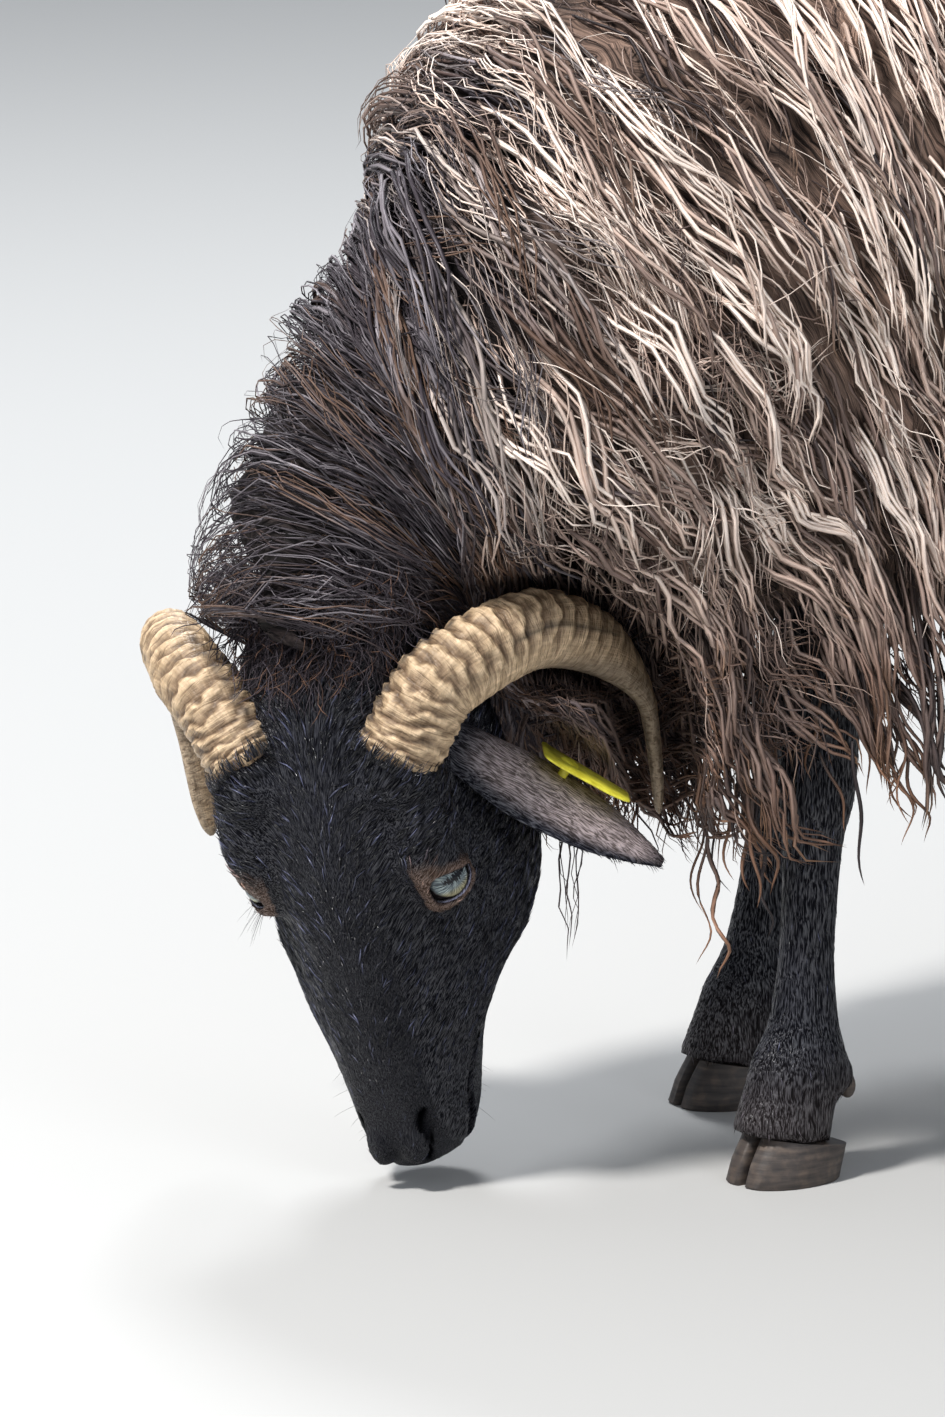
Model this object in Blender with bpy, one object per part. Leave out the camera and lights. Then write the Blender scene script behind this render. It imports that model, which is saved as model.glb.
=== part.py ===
"""A grazing black-faced mountain ewe with horns and a long coat, life size, as a still museum model.

The ewe faces -Y and its left side is at +X. It is modelled from the floor point midway between the
fore feet, and at the end everything moves by TO_ORIGIN, which puts the origin at the floor under the
middle of the whole animal. Lengths are in metres, angles in degrees.
"""

import functools
import math
import random

import bmesh
import bpy
import numpy as np
from mathutils import Matrix, Vector

TO_ORIGIN = Vector((0.0, -0.2088, 0.0))
GAP = 0.0004
SIDES = {"left": 1.0, "right": -1.0}

# The head: where the poll is, which way the face looks, and the face's landmarks along the head's own
# axes: sideways to the ewe's left, up out of the forehead, and along the nose.
POLL = Vector((-0.0166, -0.2672, 0.2692))
HEAD_HEADING = 34.7
HEAD_PITCH = 94.0
HEAD_LEAN = 7.1
EYE_AT = (0.0520, -0.0165, 0.1010)
EYE_RADIUS = 0.0132
EYE_TURN = (0.86, 0.42, 0.28)
EAR_ROOT = (0.050, -0.040, 0.030)

# The coat: how far the locks' tips stand off the skin, and how much of that depth the core fills.
COAT_DEPTH = 0.052
CORE_SHARE = 0.45
SEED = 7

HOOF_LENGTH = 0.057
HOOF_WIDTH = 0.0235
HOOF_HEIGHT = 0.031
HOOF_SPLIT = 0.004


class Profile:
    """Sizes measured at a few stations along a part, joined by a curve that never overshoots them."""

    def __init__(self, *stations):
        table = np.array(stations, float)
        self.at, self.values = table[:, 0], table[:, 1:]
        rise = np.diff(self.values, axis=0) / np.diff(self.at)[:, None]
        self.slopes = np.vstack([rise[:1], np.zeros_like(rise[1:]), rise[-1:]])
        for i in range(1, len(rise)):
            before, after = rise[i - 1], rise[i]
            same = before * after > 0
            total = np.where(same, before + after, 1.0)
            self.slopes[i] = np.where(same, 2 * before * after / total, 0.0)

    def __call__(self, at):
        i = int(np.clip(np.searchsorted(self.at, at) - 1, 0, len(self.at) - 2))
        step = self.at[i + 1] - self.at[i]
        t = float(np.clip((at - self.at[i]) / step, 0.0, 1.0))
        rest, t2, t3 = 1 - t, t * t, t * t * t
        start = (1 + 2 * t) * rest * rest
        return (
            start * self.values[i]
            + (1 - start) * self.values[i + 1]
            + step * ((t3 - 2 * t2 + t) * self.slopes[i] + (t3 - t2) * self.slopes[i + 1])
        )


def unit(vector):
    return Vector(vector).normalized()


def head_axes():
    """The head's own axes in the row frame: to its left, out of its forehead, along its nose."""
    turn = (
        Matrix.Rotation(math.radians(HEAD_HEADING), 3, "Z")
        @ Matrix.Rotation(-math.radians(HEAD_LEAN), 3, "Y")
        @ Matrix.Rotation(math.radians(HEAD_PITCH), 3, "X")
    )
    return turn @ Vector((1, 0, 0)), turn @ Vector((0, 0, 1)), turn @ Vector((0, -1, 0))


LEFTWARD, FOREHEAD, NOSEWARD = HEAD_AXES = head_axes()


def head_point(sideways, up, along):
    return POLL + LEFTWARD * sideways + FOREHEAD * up + NOSEWARD * along


def head_direction(sideways, up, along):
    return unit(LEFTWARD * sideways + FOREHEAD * up + NOSEWARD * along)


def material(name, colour, roughness):
    """One plain material for each kind of surface."""
    found = bpy.data.materials.get(name)
    if found:
        return found
    made = bpy.data.materials.new(name)
    made.use_nodes = True
    shader = made.node_tree.nodes["Principled BSDF"]
    shader.inputs["Base Color"].default_value = (*colour, 1.0)
    shader.inputs["Roughness"].default_value = roughness
    shader.inputs["Metallic"].default_value = 0.0
    made.diffuse_color = (*colour, 1.0)
    return made


COAT = ("long coat", (0.30, 0.23, 0.17), 0.9)
NECK_WOOL = ("neck wool", (0.10, 0.08, 0.08), 0.95)
SHORT_HAIR = ("short black hair", (0.018, 0.018, 0.024), 0.6)
HORN = ("horn", (0.55, 0.42, 0.26), 0.55)
HOOF = ("hoof", (0.12, 0.10, 0.09), 0.6)
EYE = ("eye", (0.30, 0.38, 0.40), 0.1)
TAG = ("yellow tag", (0.80, 0.70, 0.08), 0.45)


def object_of(name, bm, finish):
    """Turns a bmesh into a named object with a material, faces out and round parts smooth."""
    bm.normal_update()
    bmesh.ops.recalc_face_normals(bm, faces=bm.faces)
    mesh = bpy.data.meshes.new(name)
    bm.to_mesh(mesh)
    bm.free()
    mesh.shade_smooth()
    mesh.set_sharp_from_angle(angle=math.radians(40))
    mesh.materials.append(material(*finish))
    made = bpy.data.objects.new(name, mesh)
    bpy.context.scene.collection.objects.link(made)
    return made


def loft(rings, tip=None):
    """A closed bmesh through rings of points. Each end is a flat cap, or the last one a point."""
    bm = bmesh.new()
    loops = [[bm.verts.new(p) for p in ring] for ring in rings]
    count = len(loops[0])
    for lower, upper in zip(loops, loops[1:]):
        for i in range(count):
            j = (i + 1) % count
            bm.faces.new((lower[i], lower[j], upper[j]))
            bm.faces.new((lower[i], upper[j], upper[i]))
    bm.faces.new(reversed(loops[0]))
    if tip is None:
        bm.faces.new(loops[-1])
    else:
        point = bm.verts.new(tip)
        for i in range(count):
            bm.faces.new((loops[-1][i], loops[-1][(i + 1) % count], point))
    return bm


def slice_off(bm, at, normal):
    """Cuts away what lies on the normal's side of a plane and closes the cut."""
    everything = bm.verts[:] + bm.edges[:] + bm.faces[:]
    cut = bmesh.ops.bisect_plane(
        bm, geom=everything, dist=1e-6, plane_co=at, plane_no=normal, clear_outer=True
    )
    edges = [e for e in cut["geom_cut"] if isinstance(e, bmesh.types.BMEdge)]
    bmesh.ops.holes_fill(bm, edges=edges, sides=0)
    return bm


def tube_rings(centres, widths, depths, sides, across=None):
    """Oval rings round a bent centre line. A ring is widths wide along across and depths deep."""
    rings = []
    for i, centre in enumerate(centres):
        before, after = centres[max(i - 1, 0)], centres[min(i + 1, len(centres) - 1)]
        along = (after - before).normalized()
        wide = (Vector(across or (1, 0, 0)) - along * along.dot(Vector(across or (1, 0, 0)))).normalized()
        deep = along.cross(wide)
        ring = []
        for k in range(sides):
            angle = 2 * math.pi * (k + 0.5) / sides
            ring.append(
                centre + wide * (widths[i] * math.cos(angle)) + deep * (depths[i] * math.sin(angle))
            )
        rings.append(ring)
    return rings


def oval(angle, power):
    """A point on a rounded rectangle of half size 1. Power 2 is an ellipse."""
    c, s = math.cos(angle), math.sin(angle)
    return (
        math.copysign(abs(c) ** (2 / power), c),
        math.copysign(abs(s) ** (2 / power), s),
    )


def joined(base, pieces, operation="UNION", solver="MANIFOLD"):
    """Adds the pieces to the base, or takes them away, and keeps the largest closed surface."""
    group = bpy.data.collections.new("pieces of " + base.name)
    bpy.context.scene.collection.children.link(group)
    for piece in pieces:
        for owner in piece.users_collection:
            owner.objects.unlink(piece)
        group.objects.link(piece)
    modifier = base.modifiers.new("join", "BOOLEAN")
    modifier.operation = operation
    modifier.operand_type = "COLLECTION"
    modifier.collection = group
    modifier.solver = solver
    bpy.context.view_layer.update()
    graph = bpy.context.evaluated_depsgraph_get()
    bm = bmesh.new()
    bm.from_mesh(base.evaluated_get(graph).to_mesh())
    base.modifiers.remove(modifier)
    for piece in pieces:
        bpy.data.objects.remove(piece)
    bpy.data.collections.remove(group)
    keep_largest(bm)
    bm.to_mesh(base.data)
    bm.free()
    base.data.shade_smooth()
    base.data.set_sharp_from_angle(angle=math.radians(40))
    return base


def keep_largest(bm):
    """Leaves only the connected surface with the largest box."""
    left, groups = set(bm.verts), []
    while left:
        todo, group = [left.pop()], []
        while todo:
            vert = todo.pop()
            group.append(vert)
            for edge in vert.link_edges:
                other = edge.other_vert(vert)
                if other in left:
                    left.remove(other)
                    todo.append(other)
        groups.append(group)

    def box(group):
        points = np.array([v.co for v in group])
        return float(np.prod(points.max(axis=0) - points.min(axis=0)))

    for group in sorted(groups, key=box)[:-1]:
        bmesh.ops.delete(bm, geom=group, context="VERTS")


# The barrel, from the shoulders to the rump: distance behind the fore feet, then the heights of the
# back and of the belly, half the width, and the height at which it is widest. All are of the skin.
BARREL = Profile(
    (-0.130, 0.560, 0.360, 0.085, 0.455),
    (-0.070, 0.620, 0.330, 0.112, 0.455),
    (0.000, 0.644, 0.318, 0.130, 0.460),
    (0.070, 0.645, 0.312, 0.140, 0.460),
    (0.200, 0.632, 0.302, 0.156, 0.452),
    (0.350, 0.630, 0.300, 0.166, 0.450),
    (0.470, 0.640, 0.318, 0.158, 0.458),
    (0.560, 0.640, 0.340, 0.146, 0.468),
    (0.620, 0.618, 0.372, 0.118, 0.478),
    (0.652, 0.575, 0.420, 0.070, 0.492),
)
BARREL_START, BARREL_END = -0.130, 0.652
BARREL_POWER = 2.3
FRINGE = Profile((-0.130, 0.225), (0.000, 0.220), (0.200, 0.205), (0.450, 0.215), (0.700, 0.260))

# The neck: the share of its length from the shoulders to the head, then a point of the crest, a point
# of the throat and half the width. It turns with the head, so both lines leave the middle.
CREST_END = head_point(0.0, 0.006, -0.030)
THROAT_END = head_point(0.0, -0.118, 0.040)
NECK = Profile(
    (-0.25, 0.000, 0.020, 0.650, 0.000, 0.050, 0.318, 0.128),
    (0.00, 0.000, -0.092, 0.622, 0.000, -0.020, 0.320, 0.114),
    (0.30, -0.008, -0.172, 0.545, -0.010, -0.070, 0.300, 0.104),
    (0.60, -0.030, -0.206, 0.448, -0.052, -0.108, 0.284, 0.066),
    (0.85, -0.032, -0.242, 0.359, -0.082, -0.147, 0.261, 0.053),
    (1.00, *CREST_END, *THROAT_END, 0.050),
)
COLLAR_REACH = 0.022
SHOULDER_CUT = Vector((0.0, -0.0615, 0.470))
SHOULDER_FACING = unit((0.0, -0.984, -0.180))
# The coat's lower edge along the neck: how far out it hangs, as a share of the neck's width, and how
# high its ends are. Then the coat's depth on the left side, where the horn presses it, and the right.
APRON = Profile(
    (-0.25, 1.00, 0.235),
    (0.00, 0.95, 0.230),
    (0.12, 0.72, 0.190),
    (0.30, 0.55, 0.184),
    (0.60, 0.40, 0.186),
    (0.85, 0.25, 0.205),
    (1.00, 0.00, 0.215),
)
NECK_DEPTH = Profile(
    (-0.25, 0.052, 0.052),
    (0.30, 0.050, 0.050),
    (0.60, 0.034, 0.050),
    (0.85, 0.024, 0.050),
    (1.00, 0.018, 0.042),
)


def barrel_ring(y, grow, sides):
    """The barrel's section at y, its surface moved out by grow."""
    back, belly, half, level = BARREL(y)
    ring = []
    for k in range(sides):
        wide, high = oval(2 * math.pi * (k + 0.5) / sides, BARREL_POWER)
        reach = (back + 0.8 * grow - level) if high > 0 else (level - belly + 0.5 * grow)
        ring.append(Vector((wide * (half + grow), y, level + high * reach)))
    return ring


def neck_frame(t):
    """The middle of the neck's section, half its depth toward the crest, its width line, half width."""
    *lines, half = NECK(t)
    crest, throat = Vector(lines[:3]), Vector(lines[3:])
    run = neck_run(t)
    deep = (crest - throat) / 2
    return (crest + throat) / 2, deep, deep.cross(run).normalized(), half


def neck_run(t):
    """The direction in which the neck's centre line runs, from the shoulders to the head."""
    ends = []
    for step in (-0.06, 0.06):
        values = NECK(float(np.clip(t + step, -0.25, 1.0)))
        ends.append(Vector(values[0:3] + values[3:6]) / 2)
    return (ends[1] - ends[0]).normalized()


def neck_ring(t, left, right, sides):
    """The neck's section at a share t of its length, its surface moved out to its left and right."""
    middle, deep, across, half = neck_frame(t)
    stretch = (deep.length + 0.4 * (left + right)) / deep.length
    ring = []
    for k in range(sides):
        wide, high = oval(2 * math.pi * (k + 0.5) / sides, 2.2)
        grow = left if wide > 0 else right
        ring.append(middle + across * (wide * (half + grow)) + deep * (high * stretch))
    return ring


# The head's sections along the nose: the height of its upper line and of its lower line, then half the
# width at the brow, at the cheek and at the jaw.
SKULL = Profile(
    (-0.040, -0.012, -0.110, 0.032, 0.040, 0.030),
    (-0.020, 0.002, -0.135, 0.044, 0.052, 0.040),
    (0.010, 0.014, -0.152, 0.052, 0.060, 0.046),
    (0.040, 0.022, -0.162, 0.054, 0.064, 0.048),
    (0.070, 0.024, -0.168, 0.056, 0.068, 0.053),
    (0.100, 0.021, -0.168, 0.055, 0.068, 0.053),
    (0.130, 0.015, -0.160, 0.046, 0.061, 0.050),
    (0.152, 0.010, -0.149, 0.040, 0.053, 0.044),
    (0.175, 0.004, -0.132, 0.034, 0.043, 0.034),
    (0.200, -0.002, -0.120, 0.031, 0.038, 0.025),
    (0.222, -0.008, -0.112, 0.028, 0.035, 0.021),
    (0.240, -0.014, -0.106, 0.026, 0.033, 0.021),
    (0.254, -0.022, -0.098, 0.020, 0.028, 0.019),
    (0.264, -0.034, -0.088, 0.012, 0.018, 0.013),
)
SKULL_START, SKULL_END = -0.040, 0.264
# Where a section's points lie: how far down from the upper line, and which widths they take.
SECTION = (
    (0.00, 0.42, 0, 0),
    (0.05, 0.80, 0, 0),
    (0.17, 1.00, 0, 0),
    (0.34, 0.55, 0, 1),
    (0.52, 1.00, 1, 1),
    (0.70, 0.50, 1, 2),
    (0.86, 1.00, 2, 2),
    (0.96, 0.72, 2, 2),
    (1.00, 0.30, 2, 2),
)
SKULL_PLACES = (SKULL_START, -0.020, 0.010, 0.040, 0.070, 0.088, 0.106, 0.130, 0.152, 0.175, 0.200)
SKULL_PLACES += (0.222, 0.240, 0.254, SKULL_END)
NAPE_CUT = head_point(0.0, -0.058, 0.004)
NAPE_FACING = head_direction(0.0, -0.50, -0.866)


def skull_ring(along, grow=0.0):
    """The head's section, round from the upper line's left side to its right side."""
    top, bottom, *halves = SKULL(along)
    top, bottom, halves = top + grow, bottom - grow, [half + grow for half in halves]
    side = []
    for down, share, first, second in SECTION:
        if first == second:
            half = halves[first] * share
        else:
            half = halves[first] * (1 - share) + halves[second] * share
            half *= 1.02
        side.append((half, top + (bottom - top) * down))
    left = [head_point(half, up, along) for half, up in side]
    right = [head_point(-half, up, along) for half, up in reversed(side)]
    return left + right


def ball(centre, size, axes=None, segments=12, rings=8):
    """An ellipsoid as a bmesh, its half sizes along the given axes."""
    bm = bmesh.new()
    bmesh.ops.create_uvsphere(bm, u_segments=segments, v_segments=rings, radius=1.0)
    turn = Matrix(axes).transposed() if axes else Matrix.Identity(3)
    for vert in bm.verts:
        vert.co = centre + turn @ Vector((vert.co.x * size[0], vert.co.y * size[1], vert.co.z * size[2]))
    return bm


def eye_axes(side):
    """The way an eye looks, the line from its inner to its outer corner, and upward from its lids."""
    look = head_direction(side * EYE_TURN[0], EYE_TURN[1], EYE_TURN[2])
    corner = head_direction(0.0, -0.50, -0.86)
    corner = (corner - look * corner.dot(look)).normalized()
    return look, corner, look.cross(corner) * side


def eye_centre(side):
    return head_point(side * EYE_AT[0], EYE_AT[1], EYE_AT[2])


LID_RADIUS = 0.0172
LID_OPEN = (0.0118, 0.0058)
LID_GAPE = 0.020


def lens(centre, look, corner, up, half_long, half_high, reach, raise_by=0.0):
    """A bar of almond section that points along look, used to open the lids."""
    rings = []
    for depth in (0.2 * reach, reach):
        ring = []
        for k in range(12):
            angle = 2 * math.pi * k / 12
            along = math.cos(angle)
            high = math.sin(angle) * (1 - 0.35 * along * along)
            point = centre + look * depth + corner * (half_long * along)
            ring.append(point + up * (half_high * high + raise_by))
        rings.append(ring)
    return loft(rings)


def build_head():
    """The head without its eyes, horns and ears: brows, lids, lips, nostrils and the line of the mouth."""
    bm = loft([skull_ring(p) for p in SKULL_PLACES])
    slice_off(bm, NAPE_CUT - NAPE_FACING * (GAP / 2), NAPE_FACING)
    head = object_of("head", bm, SHORT_HAIR)
    lumps = []
    for side in SIDES.values():
        look, corner, up = eye_axes(side)
        at = eye_centre(side)
        lids = ball(at, (LID_RADIUS, LID_RADIUS, LID_RADIUS * 0.98), (corner, up, look), 14, 9)
        lumps.append(object_of("lids", lids, SHORT_HAIR))
        brow = ball(head_point(side * 0.050, 0.001, 0.086), (0.020, 0.017, 0.025), HEAD_AXES)
        lumps.append(object_of("brow", brow, SHORT_HAIR))
        wing = ball(head_point(side * 0.017, -0.030, 0.240), (0.011, 0.013, 0.018), HEAD_AXES)
        lumps.append(object_of("nostril wing", wing, SHORT_HAIR))
        lip = ball(head_point(side * 0.016, -0.068, 0.236), (0.014, 0.014, 0.022), HEAD_AXES)
        lumps.append(object_of("upper lip", lip, SHORT_HAIR))
    chin = ball(head_point(0.0, -0.094, 0.236), (0.018, 0.012, 0.022), HEAD_AXES)
    lumps.append(object_of("chin", chin, SHORT_HAIR))
    joined(head, lumps)
    cuts = []
    for side in SIDES.values():
        look, corner, up = eye_axes(side)
        at = eye_centre(side)
        opening = lens(at, look, corner, up, *LID_OPEN, LID_GAPE, raise_by=-0.0008)
        cuts.append(object_of("opening", opening, SHORT_HAIR))
        socket = ball(at, [EYE_RADIUS + GAP] * 3, (corner, up, look), 14, 9)
        cuts.append(object_of("socket", socket, SHORT_HAIR))
        cuts.append(object_of("nostril", nostril_cutter(side), SHORT_HAIR))
    cuts.append(object_of("mouth", mouth_cutter(), SHORT_HAIR))
    return joined(head, cuts, "DIFFERENCE")


def nostril_cutter(side):
    """A slit like a comma, from beside the tip of the nose up and out along its wing."""
    path = [(0.009, -0.044, 0.266), (0.014, -0.034, 0.260), (0.021, -0.028, 0.250), (0.029, -0.026, 0.236)]
    centres = [head_point(side * p[0], p[1], p[2]) for p in path]
    rings = tube_rings(centres, [0.002, 0.0034, 0.0034, 0.0016], [0.004, 0.007, 0.007, 0.004], 6)
    return loft(rings)


def mouth_cutter():
    """A thin wedge that goes round the muzzle where the lips close."""
    path = [(0.047, -0.078, 0.194), (0.041, -0.079, 0.212), (0.038, -0.081, 0.232)]
    path += [(0.031, -0.083, 0.252), (0.014, -0.084, 0.272), (0.0, -0.084, 0.280)]
    path += [(-x, u, n) for x, u, n in reversed(path[:-1])]
    rings = []
    for x, u, n in path:
        inner = (x * 0.62, u - 0.001, 0.215 + (n - 0.215) * 0.60)
        if n < 0.2:
            inner = (x * 0.62, u, n)
        ring = [(x, u + 0.0011, n), (x, u - 0.0011, n), inner]
        rings.append([head_point(*p) for p in ring])
    return loft(rings)


# The left horn's centre line along the head's axes, for shares of its length from the root, then its
# width in the plane of its curl and its thickness across it.
HORN_LINE = Profile(
    (0.00, 0.0406, 0.0023, 0.0333, 0.0460, 0.0420),
    (0.20, 0.0674, -0.0132, -0.0039, 0.0455, 0.0400),
    (0.40, 0.0965, -0.0546, -0.0150, 0.0430, 0.0340),
    (0.60, 0.1190, -0.1060, 0.0044, 0.0370, 0.0260),
    (0.80, 0.1290, -0.1361, 0.0514, 0.0250, 0.0160),
    (0.92, 0.1282, -0.1370, 0.0830, 0.0190, 0.0090),
    (1.00, 0.1269, -0.1351, 0.1065, 0.0080, 0.0050),
)
HORN_SUNK = 0.012
HORN_CURL = (0.083, -0.072, 0.062)
RIB_COUNT = 24
RIB_HEIGHT = 0.0014
RIBS_END = 0.80


def horn_rings(side, grow=0.0, ribs=True):
    """The horn's sections from just inside the skull to near its tip."""
    shares = [i / (2 * RIB_COUNT) for i in range(int(2 * RIB_COUNT * RIBS_END) + 1)]
    shares += [0.85, 0.90, 0.95, 0.985]
    if not ribs:
        shares = shares[::4] + [0.90, 1.0]
    centres = [head_point(side * p[0], p[1], p[2]) for p in map(HORN_LINE, shares)]
    curl = head_point(side * HORN_CURL[0], HORN_CURL[1], HORN_CURL[2])
    start = (centres[1] - centres[0]).normalized()
    shares.insert(0, 0.0)
    centres.insert(0, centres[0] - start * (HORN_SUNK + grow))
    rings = []
    for i, (share, centre) in enumerate(zip(shares, centres)):
        along = (centres[min(i + 1, len(centres) - 1)] - centres[max(i - 1, 0)]).normalized()
        inward = curl - centre
        inward = (inward - along * along.dot(inward)).normalized()
        aside = along.cross(inward)
        wide, thick = HORN_LINE(share)[3:] / 2
        if ribs and share <= RIBS_END:
            fade = 1.0 - 0.6 * share / RIBS_END
            rib = RIB_HEIGHT * fade * (1 if i % 2 else -1)
            wide, thick = wide + rib, thick + rib
        ring = []
        for k in range(8):
            angle = 2 * math.pi * (k + 0.5) / 8
            ring.append(
                centre
                + inward * ((wide + grow) * math.cos(angle))
                + aside * ((thick + grow) * math.sin(angle))
            )
        rings.append(ring)
    return rings


# An ear's sections: share of its length, half its width, how deep it is cupped, how thick it is.
EAR_LENGTH = 0.137
EAR = Profile(
    (0.00, 0.0130, 0.0110, 0.0040),
    (0.16, 0.0180, 0.0140, 0.0036),
    (0.40, 0.0250, 0.0110, 0.0030),
    (0.65, 0.0220, 0.0070, 0.0026),
    (0.87, 0.0120, 0.0030, 0.0022),
    (1.00, 0.0030, 0.0006, 0.0018),
)
# Which way each ear runs, which way its back faces, and how far its tip droops.
EAR_RUN = {"left": (0.727, -0.288, 0.629), "right": (0.275, -0.880, 0.390)}
EAR_BACK = {"left": (0.66, 0.29, -0.69), "right": (0.93, 0.10, -0.35)}
EAR_DROOP = {"left": 0.004, "right": 0.004}


def ear_frame(name, share):
    """A point of an ear's middle line, then its run, its width line and the way its back faces."""
    side = SIDES[name]
    run = head_direction(side * EAR_RUN[name][0], EAR_RUN[name][1], EAR_RUN[name][2])
    back = head_direction(side * EAR_BACK[name][0], EAR_BACK[name][1], EAR_BACK[name][2])
    back = (back - run * back.dot(run)).normalized()
    across = run.cross(back)
    droop = EAR_DROOP[name]
    middle = head_point(side * EAR_ROOT[0], EAR_ROOT[1], EAR_ROOT[2]) + run * (EAR_LENGTH * share)
    middle -= back * (droop * share * share)
    return middle, run, across, back


def ear_rings(name, grow=0.0):
    """The ear's sections: a cupped leaf, its back side then its hollow side."""
    rings = []
    for share in (0.0, 0.08, 0.18, 0.30, 0.42, 0.55, 0.68, 0.80, 0.90, 0.97):
        middle, run, across, back = ear_frame(name, share)
        half, cup, thick = EAR(share)
        outer, inner = [], []
        for k in range(6):
            x = -1 + 2 * k / 5
            facing = (back + across * (2 * cup * x / half)).normalized()
            rim = facing.cross(run) * (grow * (abs(x) == 1.0) * x)
            at = middle + across * (half * x) + back * (cup * (0.5 - x * x))
            at += rim if rim.dot(across) * x > 0 else -rim
            at -= run * (grow if share == 0.0 else 0.0)
            reach = thick / 2 * (1 - 0.45 * x * x) + grow
            outer.append(at + facing * reach)
            inner.append(at - facing * reach)
        rings.append(outer + inner[::-1])
    return rings


def build_ear(name):
    tip, *_ = ear_frame(name, 1.0)
    return object_of("ear_" + name, loft(ear_rings(name), tip), SHORT_HAIR)


TAG_SHARE = 0.50
TAG_ACROSS = -0.012
TAG_SIZE = (0.052, 0.034, 0.0014)
STUD_RADIUS = 0.0026
TAG_LIFT = 0.0075


def tag_frame():
    """Where the tag's stud goes through the left ear, and the tag's length, width and facing."""
    middle, run, across, back = ear_frame("left", TAG_SHARE)
    half, cup, _ = EAR(TAG_SHARE)
    x = TAG_ACROSS / half
    at = middle + across * TAG_ACROSS + back * (cup * (0.5 - x * x))
    facing = (back + across * (2 * cup * x / half)).normalized()
    return at, run, facing.cross(run).normalized(), facing


def build_tag():
    """A bare yellow plate on the back of the left ear, held by a stud with a small disc inside."""
    at, run, wide, facing = tag_frame()
    rings = []
    long, broad, thick = TAG_SIZE
    for height in (TAG_LIFT, TAG_LIFT + thick):
        ring = []
        for k in range(16):
            x, y = oval(2 * math.pi * (k + 0.5) / 16, 3.5)
            narrow = 1 - 0.22 * x
            centre = at + run * (long * 0.5 * x + 0.010) + wide * (broad * 0.5 * y * narrow)
            ring.append(centre + facing * height)
        rings.append(ring)
    plate = object_of("ear_tag", loft(rings), TAG)
    stud = rod(at + facing * (TAG_LIFT + thick / 2), at - facing * 0.0050, STUD_RADIUS, 10)
    disc = rod(at - facing * 0.0042, at - facing * 0.0060, 0.0070, 12)
    pieces = [object_of("stud", stud, TAG), object_of("disc", disc, TAG)]
    return joined(plate, pieces)


def rod(start, end, radius, sides):
    """A straight round bar."""
    along = (end - start).normalized()
    across = along.orthogonal().normalized()
    other = along.cross(across)
    rings = []
    for at in (start, end):
        ring = []
        for k in range(sides):
            angle = 2 * math.pi * k / sides
            ring.append(at + across * (radius * math.cos(angle)) + other * (radius * math.sin(angle)))
        rings.append(ring)
    return loft(rings)


# A leg's sections by height: how far behind the foot and how far in from it the leg stands, then half
# its width and half its depth.
FORELEG = Profile(
    (0.000, -0.001, 0.000, 0.0245, 0.0275),
    (0.026, 0.001, 0.000, 0.0235, 0.0275),
    (0.040, 0.005, 0.000, 0.0220, 0.0270),
    (0.058, 0.011, 0.000, 0.0215, 0.0275),
    (0.085, 0.015, 0.000, 0.0160, 0.0190),
    (0.125, 0.017, 0.000, 0.0135, 0.0150),
    (0.175, 0.021, 0.001, 0.0142, 0.0162),
    (0.205, 0.024, 0.002, 0.0195, 0.0210),
    (0.235, 0.028, 0.003, 0.0190, 0.0205),
    (0.290, 0.037, 0.006, 0.0215, 0.0290),
    (0.350, 0.049, 0.010, 0.0260, 0.0360),
)
HINDLEG = Profile(
    (0.000, 0.000, 0.000, 0.0205, 0.0240),
    (0.026, 0.006, 0.000, 0.0195, 0.0230),
    (0.042, 0.011, 0.000, 0.0180, 0.0220),
    (0.060, 0.015, 0.000, 0.0200, 0.0250),
    (0.085, 0.018, 0.000, 0.0145, 0.0175),
    (0.135, 0.028, 0.000, 0.0130, 0.0150),
    (0.190, 0.041, 0.000, 0.0150, 0.0180),
    (0.225, 0.050, 0.000, 0.0185, 0.0250),
    (0.255, 0.050, 0.000, 0.0175, 0.0270),
    (0.295, 0.028, 0.001, 0.0190, 0.0300),
    (0.345, -0.005, 0.002, 0.0260, 0.0420),
    (0.390, -0.035, 0.004, 0.0330, 0.0540),
)
FEET = {
    "foreleg_left": (0.078, -0.038),
    "foreleg_right": (-0.075, 0.037),
    "hindleg_left": (0.082, 0.600),
    "hindleg_right": (-0.082, 0.560),
}
FOOT_TURN = {"foreleg_left": 6.0, "foreleg_right": -6.0, "hindleg_left": 8.0, "hindleg_right": -8.0}
LEAN = {"foreleg_left": 0.0, "foreleg_right": 0.10, "hindleg_left": 0.0, "hindleg_right": 0.06}
LEG_HEIGHTS = (0.000, 0.018, 0.030, 0.042, 0.056, 0.070, 0.090, 0.125, 0.170, 0.198, 0.222, 0.250)
CORONET = 0.0235
CORONET_FALL = 0.16


def coronet_plane(name):
    """The slanting plane on which a foot's hooves end and its hair begins."""
    x, y = FEET[name]
    return Vector((x, y, CORONET)), unit((0.0, CORONET_FALL, 1.0))


def leg_rings(name, grow=0.0, heights=None):
    x, y = FEET[name]
    table = FORELEG if name.startswith("fore") else HINDLEG
    tops = (0.290, 0.350) if name.startswith("fore") else (0.290, 0.340, 0.390)
    inward = -math.copysign(1.0, x)
    rings = []
    for z in heights or (LEG_HEIGHTS + tops):
        behind, aside, half_wide, half_deep = table(z)
        behind += LEAN[name] * z
        ring = []
        for k in range(10):
            wide, deep = oval(2 * math.pi * (k + 0.5) / 10, 2.1)
            ring.append(
                Vector(
                    (
                        x + inward * aside + wide * (half_wide + grow),
                        y + behind + deep * (half_deep + grow),
                        z,
                    )
                )
            )
        rings.append(ring)
    return rings


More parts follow.
